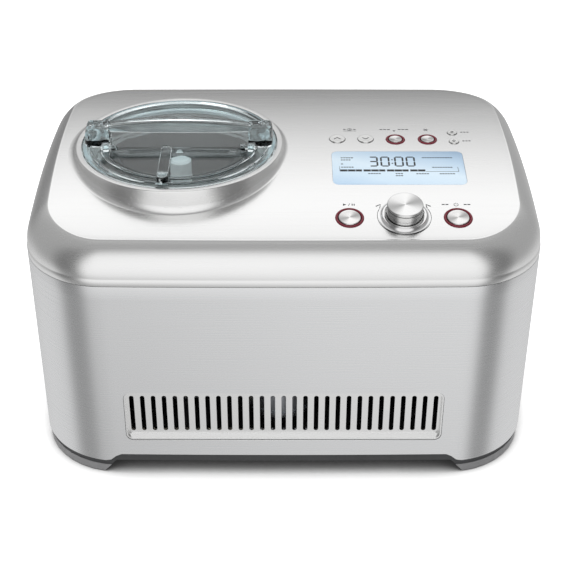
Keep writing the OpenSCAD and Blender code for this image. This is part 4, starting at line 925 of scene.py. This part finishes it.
RIB_IN = 15 * MM
RIB_OUT = 68 * MM
RIB_H = 5 * MM
RIB_ROLL = 1.0 * MM
CAP_GAP = 0.6 * MM
CAP_EDGE = 0.3 * MM
CAP_DOME = 3.4 * MM
CAP_RINGS = 14
AT_WELL = Matrix.Translation((WELL.x, WELL.y, 0))


def handle_bar():
    """Bowed grip bar, lofted from lug to lug, lens-shaped as seen from the front."""
    reach = LUG_IN + 2 * MM
    rings = []
    for i in range(BAR_STATIONS):
        x = -reach + 2 * reach * i / (BAR_STATIONS - 1)
        bow = (x / LUG_IN) ** 2
        top = HANDLE_TOP_Z - BEAM_DROP * bow
        under = top - BAR_H + BAR_ARCH * bow
        wide = BAR_HALF_T - BAR_TAPER * bow
        upper, lower = top - BAR_TOP_ROLL, under + BAR_LOW_ROLL
        section = [
            *fillet(wide - BAR_TOP_ROLL, upper, BAR_TOP_ROLL, 0, 90, 5),
            *fillet(-wide + BAR_TOP_ROLL, upper, BAR_TOP_ROLL, 90, 180, 5),
            *fillet(-wide + BAR_LOW_ROLL, lower, BAR_LOW_ROLL, 180, 270, 4),
            *fillet(wide - BAR_LOW_ROLL, lower - BAR_FRONT_DROP, BAR_LOW_ROLL, 270, 360, 4),
        ]
        rings.append([(x, y, z) for y, z in section])
    return outward(loops_to_solid("bar", rings))


def lug(side):
    """Faceted block that carries one end of the bar, narrower near its top."""
    x = side * (LUG_IN + LUG_OUT) / 2
    top = HANDLE_TOP_Z - BEAM_DROP - 0.6 * MM
    corners = rounded_rectangle(LUG_OUT - LUG_IN, 2 * LUG_HALF, 3 * MM, 3)
    flat = []
    for (ax, ay), (bx, by) in zip(corners, corners[1:] + corners[:1]):
        steps = max(1, round(math.dist((ax, ay), (bx, by)) / LUG_FACET_W))
        flat += [(ax + (bx - ax) * i / steps, ay + (by - ay) * i / steps) for i in range(steps)]
    levels = [(ROOT_Z, 1)]
    for share in (0.1, 0.25, 0.4, 0.55, 0.7, 0.84, 0.95, 1):
        levels.append((PLATE_TOP_Z + (top - PLATE_TOP_Z) * share, 1 - LUG_TAPER * share**6))
    rng = random.Random(31 + side)

    def shift():
        return rng.uniform(-1, 1) * LUG_FACET

    rings = [[(x + u * scale + shift(), v * scale + shift(), z) for u, v in flat] for z, scale in levels]
    return outward(loops_to_solid("lug", rings))


def ear(side):
    """Block at the lug's root that holds one pin of the cap."""
    shape = rounded_rectangle(6 * MM, 7 * MM, 1 * MM, 4, (side * (LUG_IN + 3 * MM), HINGE_Y))
    return bevel(prism("ear", shape, ROOT_Z, HINGE_Z + 2.5 * MM), 0.4 * MM)


def half_step(r0, r1):
    """Raised step of the lid as a half ring in front of the lugs' front faces."""
    points = []
    for r, order in ((r1, 1), (r0, -1)):
        start = math.asin(-LUG_HALF / r)
        turn = np.linspace(math.pi - start, 2 * math.pi + start, 64)[::order]
        points.extend((r * math.cos(a), r * math.sin(a)) for a in turn)
    return bevel(prism("step", points, ROOT_Z, STEP_Z), 0.5 * MM)


def hatch_points(gap):
    """Outline of the ingredient opening: a half disc with straight ends, gap narrower all round."""
    radius, half, back = HATCH_R - gap, HATCH_HALF_W - gap, HATCH_BACK_Y - gap
    start = math.acos(half / radius)
    turn = np.linspace(math.pi + start, 2 * math.pi - start, 90)
    return [(-half, back), *((radius * math.cos(a), radius * math.sin(a)) for a in turn), (half, back)]


def along_hinge(name, profile, x, side):
    """Turned part on the hinge line that starts at x and points outwards."""
    place = Matrix.Translation((side * x, HINGE_Y, HINGE_Z))
    return lathe(name, profile, 24, place @ Matrix.Rotation(side * math.pi / 2, 4, "Y"))


def hinge_pin(side):
    tip_r = PIN_R - PIN_CHAMFER
    pin = [(0, 0), (PIN_R, 0), (PIN_R, PIN_LEN - PIN_CHAMFER), (tip_r, PIN_LEN), (0, PIN_LEN)]
    return along_hinge("pin", pin, LUG_IN - 4 * MM, side)


def pin_bore(side):
    radius, depth = PIN_R + 0.1 * MM, 6 * MM
    return along_hinge("cut", [(0, 0), (radius, 0), (radius, depth), (0, depth)], LUG_IN - 1 * MM, side)


def make_lid():
    """Clear lid: plate and skirt in one turned piece, with steps, lugs and bar, and the cap's opening."""
    low_roll, top_roll = 0.5 * MM, 0.9 * MM
    edge_z = RIM_Z + 0.1 * MM
    profile = [
        (0, PLATE_LOW_Z),
        (LID_R - 3.1 * MM, PLATE_LOW_Z),
        (LID_R - 3.1 * MM, LID_LOW_Z),
        *fillet(LID_R - low_roll, LID_LOW_Z + low_roll, low_roll, 270, 360, 3),
        *fillet(LID_R - top_roll, edge_z - top_roll, top_roll, 0, 90, 5),
        (LID_R - 2.4 * MM, edge_z),
        (LID_R - 3.4 * MM, RIM_Z),
        (LID_R - 4.6 * MM, PLATE_TOP_Z + 0.12 * MM),
        (LID_R - 5.6 * MM, PLATE_TOP_Z),
        (0, PLATE_TOP_Z),
    ]
    lid = outward(lathe("lid_clear", profile, 144))
    inner_step = half_step(HATCH_R + 2.5 * MM, HATCH_R + 4.5 * MM)
    outer_step = half_step(LID_R - 8 * MM, LID_R - 6 * MM)
    combine(lid, [inner_step, outer_step, ear(-1), ear(1), lug(-1), lug(1), handle_bar()], "UNION")
    rib_notch = rounded_rectangle(RIB_W + 1.2 * MM, 20 * MM, 1 * MM, middle=(RIB_X, -RIB_OUT + 8.5 * MM))
    cutters = [
        prism("cut", hatch_points(0.0), PLATE_LOW_Z - 1 * MM, PLATE_TOP_Z + 0.15 * MM),
        prism("cut", rib_notch, PLATE_TOP_Z + 0.05 * MM, PLATE_TOP_Z + 5 * MM),
        *(pin_bore(side) for side in (-1, 1)),
    ]
    combine(lid, cutters, "DIFFERENCE")
    outward(lid, weld=True).data.transform(AT_WELL)
    dress(shade(lid, 30), "lid", "clear_plastic", ["lid"])


def domed_cap():
    """Slightly domed clear plate with a thinner edge that fills the ingredient opening."""
    edge = np.array(hatch_points(CAP_GAP))
    middle = np.array([0.0, HATCH_BACK_Y - 22 * MM])

    def layer(base, order, edge_drop):
        rings = []
        for k in order:
            flat = middle + (edge - middle) * k / CAP_RINGS
            spread = np.minimum((flat**2).sum(axis=1) / HATCH_R**2, 1)
            drop = edge_drop if k == CAP_RINGS else 0
            rings.append(at_height(flat, base + CAP_DOME * (1 - spread) - drop))
        return rings

    low = layer(PLATE_LOW_Z, range(1, CAP_RINGS + 1), -CAP_EDGE)
    high = layer(PLATE_TOP_Z, range(CAP_RINGS, 0, -1), CAP_EDGE)
    return outward(loops_to_solid("cap_clear", low + high))


def finger_rib():
    """Long upright rib of the cap with rounded ends and a rolled top edge."""
    middle = (RIB_X, -(RIB_IN + RIB_OUT) / 2)
    corner = RIB_W / 2 - 0.2 * MM
    top = PLATE_TOP_Z + RIB_H
    levels = [(PLATE_TOP_Z + 0.4 * MM, 0), (top - RIB_ROLL, 0)]
    for a in np.radians((22, 45, 68, 90)):
        levels.append((top - RIB_ROLL * (1 - math.sin(a)), RIB_ROLL * (1 - math.cos(a))))
    rings = []
    for z, inset in levels:
        flat = rounded_rectangle(RIB_W - 2 * inset, RIB_OUT - RIB_IN - 2 * inset, corner - inset, 8, middle)
        rings.append(at_height(flat, z))
    return outward(loops_to_solid("block", rings))


def make_cap():
    """Half-round cap of the ingredient opening with its long finger rib."""
    plate = domed_cap()
    foot_middle = (RIB_X, -(HATCH_R - 5 * MM + RIB_IN + 4 * MM) / 2)
    foot = rounded_rectangle(6 * MM, 30 * MM, 1 * MM, middle=foot_middle)
    parts = [finger_rib(), prism("foot", foot, ROOT_Z, PLATE_TOP_Z + 1 * MM)]
    for side in (-1, 1):
        knuckle = rounded_rectangle(4 * MM, 4 * MM, 0.8 * MM, 3, (side * (LUG_IN - 4 * MM), HINGE_Y))
        parts += [prism("knuckle", knuckle, ROOT_Z, HINGE_Z + 2 * MM), hinge_pin(side)]
    combine(plate, parts, "UNION")
    outward(plate, weld=True).data.transform(AT_WELL)
    dress(shade(plate, 30), "cap", "clear_plastic", ["ingredient_cap"])


# ---------- control panel: marks are drawn in mm ----------
PRINT_T = 0.08 * MM
WINDOW_SINK = 0.3 * MM
WINDOW_T = 1.7 * MM
DIGIT_W = 5.9
DIGIT_H = 12.4
STROKE = 1.35
SEGMENT_GAP = 0.22
DIGIT_Y = 2.2
DIGITS = ((-21.9, "3"), (-12.9, "0"), (-2.0, "0"), (7.0, "0"))
COLON_X = -4.3
SEGMENTS = {"0": "abcdef", "3": "abgcd"}
# Middle of each bar as shares of the digit's width and height, and whether the bar lies flat
SEGMENT_PLACES = {
    "a": (0.5, 1, True), "g": (0.5, 0.5, True), "d": (0.5, 0, True),
    "f": (0, 0.75, False), "b": (1, 0.75, False), "e": (0, 0.25, False), "c": (1, 0.25, False),
}


def digit(symbol, x, y):
    """Bars of one seven-segment digit whose lower left corner is at x, y."""
    slim = STROKE / 2
    bars = []
    for name in SEGMENTS[symbol]:
        across, up, flat = SEGMENT_PLACES[name]
        reach = (DIGIT_W if flat else DIGIT_H / 2) / 2 - SEGMENT_GAP
        tip = reach - slim
        shape = [(-reach, 0), (-tip, -slim), (tip, -slim), (reach, 0), (tip, slim), (-tip, slim)]
        if not flat:
            shape = [(-v, u) for u, v in shape]
        bars.append([(x + DIGIT_W * across + u, y + DIGIT_H * up + v) for u, v in shape])
    return bars


def dash(cx, cy, w, h):
    """Small rectangle round a middle point."""
    return [(cx + sx * w / 2, cy + sy * h / 2) for sx, sy in ((-1, -1), (1, -1), (1, 1), (-1, 1))]


def dashes(places, y, w, h):
    return [dash(x, y, w, h) for x in places]


def stroke(points, width):
    """Outline of a thin line through the given points."""
    points = [Vector(p) for p in points]
    left, right = [], []
    for i, p in enumerate(points):
        ahead = points[min(i + 1, len(points) - 1)] - points[max(i - 1, 0)]
        across = Vector((-ahead.y, ahead.x)).normalized() * width / 2
        left.append(tuple(p + across))
        right.append(tuple(p - across))
    return left[::-1] + right


def arc_line(r, start, end, width, steps=24):
    turn = np.radians(np.linspace(start, end, steps + 1))
    return stroke([(r * math.cos(a), r * math.sin(a)) for a in turn], width)


def printed(name, shapes, x, y, lift=0.0, body="housing"):
    """Thin inked marks on a plane parallel to the deck at x, y, lift above it."""
    place = deck_frame(x, y, lift)
    marks = [outward(prism("mark", np.array(shape) * MM, 0, PRINT_T, place)) for shape in shapes]
    dress(join(name, marks), body, "dark_plastic", material=MATERIALS["print_ink"])


# Start in X and Y and count of the short dashes that stand in place of words on the display
WORDS = [
    (-43.5, 13.6, 5), (-43.5, 10.6, 4), (-43.5, 5.0, 1), (-43.5, 0.6, 5), (20, 13.8, 12), (27, 0.4, 8),
    (-23, -8.2, 5), (-2, -8.2, 3), (-2, -11.0, 3), (14, -8.4, 5), (32, -8.4, 6),
]
PROGRESS_BARS = 11
PROGRESS_STEP = 6.0
PROGRESS_Y = -3.9


def progress_row(w):
    """Row of lit bar segments and a thin frame for the unlit rest."""
    shapes = []
    left = -w / 2 + 6.1
    for i in range(PROGRESS_BARS):
        width = PROGRESS_STEP - (1.3 if i % 3 == 2 else 0.4)
        shapes.append(dash(left + i * PROGRESS_STEP + width / 2, PROGRESS_Y, width, 2.6))
    start, end = left + PROGRESS_BARS * PROGRESS_STEP, w / 2 - 5
    shapes.append(dash((start + end) / 2, PROGRESS_Y - 1.4, end - start, 0.3))
    shapes.append(stroke([(end, PROGRESS_Y - 1.5), (end - 0.4, PROGRESS_Y + 4.6)], 0.3))
    shapes.append(dash(left - 0.3, PROGRESS_Y + 2.3, 0.3, 6.6))
    return shapes


def make_display():
    place = deck_frame(LCD.x, LCD_Y, -WINDOW_SINK)
    face = prism("display_face", rounded_rectangle(LCD_W, LCD_DEPTH, 4.9 * MM, 10), -WINDOW_T, 0, place)
    dress(shade(bevel(face, 0.3 * MM)), "housing", "display", ["lcd_window"])
    shapes = progress_row(LCD_W / MM)
    for x, y, count in WORDS:
        shapes += dashes([x + 2.0 * i for i in range(count)], y, 1.5, 1.0)
    for x, symbol in DIGITS:
        shapes += digit(symbol, x, DIGIT_Y)
    shapes += [dash(COLON_X, DIGIT_Y + DIGIT_H * share, 1.1, 1.1) for share in (0.3, 0.7)]
    printed("display_segments", shapes, LCD.x, LCD_Y, -WINDOW_SINK)


PRINT_LINE = 0.38


def make_prints():
    """Plain pictograms where the labels of the keys are: name, place on the deck and shapes."""
    clock = [arc_line(1.7, 0, 355, PRINT_LINE), stroke([(0, 1.2), (0, 0), (0.9, 0)], PRINT_LINE)]
    rule = [dash(0, -2.6, 10.5, 0.3)]
    pointer = [(0, -2.7), (1.2, -1.0), (-1.2, -1.0)]
    spokes = [2.2 * Vector((math.cos(a), math.sin(a))) for a in np.radians((0, 60, 120))]
    play = [(-4.4, -1.2), (-2.0, 0), (-4.4, 1.2)]
    slash = stroke([(-0.5, -1.3), (0.6, 1.3)], PRINT_LINE)
    power = [arc_line(1.6, 120, 420, PRINT_LINE), stroke([(0, 0.4), (0, 2.2)], PRINT_LINE)]
    short_word = dashes((-2.4, 0, 2.4), 0, 1.7, 0.9)
    program = dashes((-10.4, -7.4, -4.4, 4.4, 7.4, 10.4), 0.8, 2.3, 0.9)
    for name, x, y, shapes in (
        ("print_timer", 53.2, 26.6, clock + rule + dashes((-4.0, 4.0), 0.2, 2.0, 0.9)),
        ("print_program", 89.2, 25.8, [*program, pointer]),
        ("print_keep_cool", 114.8, 26.0, [stroke([-spoke, spoke], PRINT_LINE) for spoke in spokes]),
        ("print_sound", 145.8, 22.0, short_word),
        ("print_units", 145.8, 7.4, short_word),
        ("print_start", 48.6, -78.4, [play, *dashes((2.4, 3.9), 0, 0.7, 2.2), slash]),
        ("print_power", 128.5, -78.4, power + dashes((-9.6, -6.8, 6.8, 9.6), 0.2, 2.2, 0.9)),
    ):
        printed(name, shapes, x * MM, y * MM)


def make_key_marks():
    up, down = (stroke([(-2.6, -1.1 * sign), (0, 1.1 * sign), (2.6, -1.1 * sign)], 0.45) for sign in (1, -1))
    loop = arc_line(1.1, 0, 300, 0.35)
    for node, shape in zip((*TIMER_KEYS, *SMALL_KEYS), (up, down, loop, loop)):
        printed(f"mark_{node}", [shape], *key_place(node), KEY_PROUD, BODY_OF[node])


def make_keys():
    """Key caps with a rolled edge and a stem, standing in for the plain cylinders."""
    for node in (*TIMER_KEYS, *RING_KEYS, *SMALL_KEYS, *LARGE_KEYS):
        place = deck_frame(*key_place(node))
        r, flange, proud = key_radius(node) / MM, KEY_FLANGE / MM, KEY_PROUD / MM
        ringed = node in RING_R
        roll, dish = (0.7, 0.35) if ringed else (0.5, 0.1)
        profile = [
            (0, -4.1),
            (r + flange, -4.1),
            (r + flange, -3.1),
            (r, -3.1),
            *fillet(r - roll, proud - roll, roll, 0, 90, 5),
            *[(r * share, proud - dish * (1 - share**2)) for share in (0.75, 0.5, 0.25)],
            (0, proud - dish),
        ]
        cap = lathe(f"cap_{node}", in_mm(profile), 64, place)
        stem = lathe("stem", in_mm([(0, -8.2), (1.8, -8.2), (1.8, -4.2), (0, -4.2)]), 24, place)
        piece = shade(outward(join(f"cap_{node}", [cap, stem])), 40)
        if ringed:
            # Ringed keys get face-turned steel whose colour carries a painted sheen.
            turned_painted_sheen = face_turned_metal_painted_sheen(f"spun_{node}", (0.84, 0.83, 0.82), 0.22, tuple(place.translation))
            dress(piece, BODY_OF[node], "turned_steel", [node], turned_painted_sheen)
        else:
            dress(piece, BODY_OF[node], "button_steel", [node])


def make_rings():
    """Red rings round the lit keys, with a rounded crest; the first stands for the solid of all of them."""
    for node, radius in RING_R.items():
        outer = radius / MM
        inner = outer - 2.1
        crest = fillet((outer + inner) / 2, -0.25, 1.05, 0, 180, 8)
        profile = in_mm([(inner, -2.4), (outer - 0.05, -2.4), *crest])
        ring = lathe(f"ring_{node}", profile, 72, deck_frame(*key_place(node)), closed=True)
        stands_for = ["button_rings"] if node == RING_KEYS[0] else []
        dress(shade(outward(ring), 50), "housing", "red_plastic", stands_for)


DIAL_R = 13.5
DIAL_TOP_R = 13.3
DIAL_H = 12
DIAL_SKIRT_R = 14.5


def make_dial():
    """Hollow dial cap with a skirt, a dark band near its top as painted shade of a groove, and the flared
    ring round it, in mm.
    """
    place = deck_frame(DIAL.x, DIAL_Y)
    top_z = DIAL_H - 0.7
    profile = [
        (0, 9.6),
        (11.5, 9.6),
        (12.4, 0.7),
        (DIAL_SKIRT_R - 0.3, 0.7),
        *fillet(DIAL_SKIRT_R - 0.35, 1.05, 0.35, -60, 80, 4),
        (DIAL_R + 0.1, 1.9),
        (DIAL_TOP_R, DIAL_H - 1.5),
        *fillet(DIAL_TOP_R - 0.7, top_z, 0.7, 0, 90, 5),
        (DIAL_TOP_R - 1.6, DIAL_H),
        (DIAL_TOP_R * 0.5, DIAL_H - 0.12),
        (0, DIAL_H - 0.18),
    ]
    dial = lathe("dial_cap", in_mm(profile), 96, place)
    middle = tuple(place @ Vector((0, 0, DIAL_H * MM)))
    # The dial's face-turned steel carries a painted sheen in its colour.
    turned_painted_sheen = face_turned_metal_painted_sheen("dial_turned_painted_sheen", (0.82, 0.82, 0.815), 0.2, middle)
    dress(shade(outward(dial), 35), "dial", "turned_steel", ["dial_knob"], turned_painted_sheen)
    # A thin dark plastic band near the top stands in for the shade of a groove there: painted shade.
    low, high, deep = DIAL_H - 2.2, DIAL_H - 1.75, DIAL_TOP_R - 0.25
    band = [(deep, low), (DIAL_TOP_R + 0.12, low), (DIAL_TOP_R + 0.1, high), (deep, high)]
    painted_groove_shade = lathe("dial_painted_groove_shade", in_mm(band), 96, place, closed=True)
    dress(shade(outward(painted_groove_shade)), "dial", "dark_plastic")
    bell = fillet(19.0, 3.2, 2.8, 262, 196, 8)
    flare_profile = [(15.1, 0.02), (19.2, 0.02), (19.2, 0.35), *bell, (15.9, 2.5), (15.1, 2.3)]
    flare = lathe("dial_flare", in_mm(flare_profile), 96, place, closed=True)
    dress(shade(outward(flare), 40), "housing", "polished_steel", ["dial_ring"])
    arrows = [arc_line(19.9, -205, 25, 0.35, 60)]
    for sign in (-1, 1):
        corners = ((20.4, 11.4), (17.0, 13.6), (17.6, 9.2))
        arrows.append(stroke([(sign * u, v) for u, v in corners], 0.6))
    printed("dial_arrows", arrows, DIAL.x, DIAL_Y, 0.01 * MM)


# ---------- stage ----------
FLOOR_HALF = 2.5
FLOOR_GREY = (0.8, 0.8, 0.8)
FLOOR_GLOW = 0.8
SHADOW_REACH = 48 * MM
SHADOW_DEPTH = [(0.0, 0.01), (0.22, 0.05), (0.42, 0.24), (0.58, 0.66), (0.75, 0.93), (0.9, 1.0)]


def make_floor():
    """White floor with a soft contact shadow; it glows only where the camera sees it."""
    corners = [(x * FLOOR_HALF, y * FLOOR_HALF, 0) for x, y in ((-1, -1), (1, -1), (1, 1), (-1, 1))]
    floor = link("floor", mesh_from("floor", corners, [(0, 1, 2, 3)]))
    material = bpy.data.materials.new("floor_pale")
    made = Nodes(material)
    made.tree.nodes.clear()
    open_sky = made.node("ShaderNodeAmbientOcclusion", Distance=SHADOW_REACH).outputs["AO"]
    depth = made.ramp(open_sky, [(place, (level,) * 3) for place, level in SHADOW_DEPTH])
    diffuse = made.node("ShaderNodeBsdfDiffuse", Color=depth).outputs[0]
    glow = made.node("ShaderNodeEmission", Color=depth, Strength=FLOOR_GLOW).outputs[0]
    seen = made.node("ShaderNodeAddShader", _0=diffuse, _1=glow).outputs[0]
    plain = made.node("ShaderNodeBsdfDiffuse", Color=FLOOR_GREY).outputs[0]
    surface = made.mix_shaders(made.light_path_is(*SEEN_DIRECTLY), plain, seen)
    made.node("ShaderNodeOutputMaterial", Surface=surface)
    floor.data.materials.append(material)
    floor.visible_glossy = False


WORLD_LEVEL = 0.62
STUDIO_PEAK = 1.4
# Brightness of the studio as the metal sees it, by elevation in degrees, on each of its sides
ABOVE_FRONT = [(5, 1.0), (30, 1.05), (60, 1.05), (72, 0.95), (80, 0.68), (90, 0.36)]
FRONT_SIDE = [
    (-90, 0.45), (-50, 0.6), (-41, 0.72), (-37, 0.79), (-33, 0.88), (-24, 0.9), (-10, 0.96), *ABOVE_FRONT,
]
FRONT_LEFT = [
    (-90, 0.36), (-50, 0.45), (-41, 0.54), (-37, 0.58), (-33, 0.64), (-24, 0.82), (-10, 0.95), *ABOVE_FRONT,
]
CORNERS = [(-90, 0.4), (-40, 0.33), (-33, 0.32), (-20, 0.24), (0, 0.18), (45, 0.18), (70, 0.26), (90, 0.36)]
FLANKS = [(-90, 0.6), (-33, 0.84), (-16, 0.5), (0, 0.38), (40, 0.4), (60, 0.42), (80, 0.36)]
ABOVE_BACK = [
    (31, 0.8), (37, 0.93), (42, 1.05), (46, 1.21), (52, 1.24),
    (56, 1.16), (61, 1.02), (68, 0.76), (76, 0.42), (90, 0.36),
]
BACK_SIDE = [
    (-33, 0.75), (-16, 0.28), (0, 0.2), (11, 0.275), (15, 0.37),
    (18, 0.45), (21, 0.54), (24, 0.62), (27, 0.69), *ABOVE_BACK,
]
BACK_RIGHT = [(-33, 0.75), (-16, 0.44), (0, 0.4), (11, 0.4), (18, 0.46), (24, 0.62), *ABOVE_BACK]


def make_world():
    """A bright backdrop for the camera, a plain fill, and a studio that only mirror rays see."""
    world = bpy.data.worlds.new("studio")
    bpy.context.scene.world = world
    made = Nodes(world)
    made.tree.nodes.clear()

    def smooth(value, low, high):
        step = made.node("ShaderNodeMapRange", Value=value, From_Min=low, From_Max=high)
        step.interpolation_type = "SMOOTHSTEP"
        return step.outputs["Result"]

    def blend(fac, a, b):
        step = made.node("ShaderNodeMix", _0=fac)
        step.data_type = "RGBA"
        made.feed(step.inputs[6], a)
        made.feed(step.inputs[7], b)
        return step.outputs[2]

    def background(level, colour=WHITE):
        return made.node("ShaderNodeBackground", Color=colour, Strength=level).outputs[0]

    direction = made.tree.nodes.new("ShaderNodeTexCoord").outputs["Generated"]
    x, y, z = made.node("ShaderNodeSeparateXYZ", _0=direction).outputs
    height = made.math("ADD", made.math("DIVIDE", made.math("ARCSINE", z), math.pi), 0.5)
    turn = made.math("ARCTAN2", x, made.math("MULTIPLY", y, -1.0))
    azimuth = made.math("ABSOLUTE", made.math("DIVIDE", turn, math.pi / 180))

    def side(stops):
        greys = []
        for degrees, level in stops:
            level /= STUDIO_PEAK
            greys.append(((degrees + 90) / 180, (level, level, level * 1.003)))
        return made.ramp(height, greys, "B_SPLINE")

    around = blend(smooth(x, -0.24, 0.06), side(FRONT_LEFT), side(FRONT_SIDE))
    around = blend(smooth(azimuth, 28, 46), around, side(CORNERS))
    around = blend(smooth(azimuth, 62, 82), around, side(FLANKS))
    back = blend(smooth(x, 0.15, 0.45), side(BACK_SIDE), side(BACK_RIGHT))
    around = blend(smooth(azimuth, 112, 150), around, back)
    mirrored = made.light_path_is("Is Glossy Ray")
    fill = made.mix_shaders(mirrored, background(WORLD_LEVEL), background(STUDIO_PEAK, around))
    whole = made.mix_shaders(made.light_path_is(*SEEN_DIRECTLY), fill, background(1.0))
    made.node("ShaderNodeOutputWorld", Surface=whole)


LAMP_TARGET = Vector((0, 0, 0.1))


def soft_light(name, place, size, power):
    data = bpy.data.lights.new(name, "AREA")
    data.shape = "SQUARE"
    data.size = size
    data.energy = power
    lamp = link(name, data)
    lamp.location = place
    lamp.rotation_euler = (LAMP_TARGET - Vector(place)).to_track_quat("-Z", "Y").to_euler()
    lamp.visible_glossy = False


bpy.context.scene.view_settings.view_transform = "Standard"
make_camera()
make_world()
soft_light("overhead", (0.1, -0.2, 1.9), 1.6, 9.0)
soft_light("front_left", (-1.3, -1.4, 1.2), 1.0, 5.0)
make_floor()
dress_frame()
make_cover()
make_wrap()
make_skirt()
make_collar()
make_lid()
make_cap()
make_keys()
make_rings()
make_dial()
make_display()
make_prints()
make_key_marks()
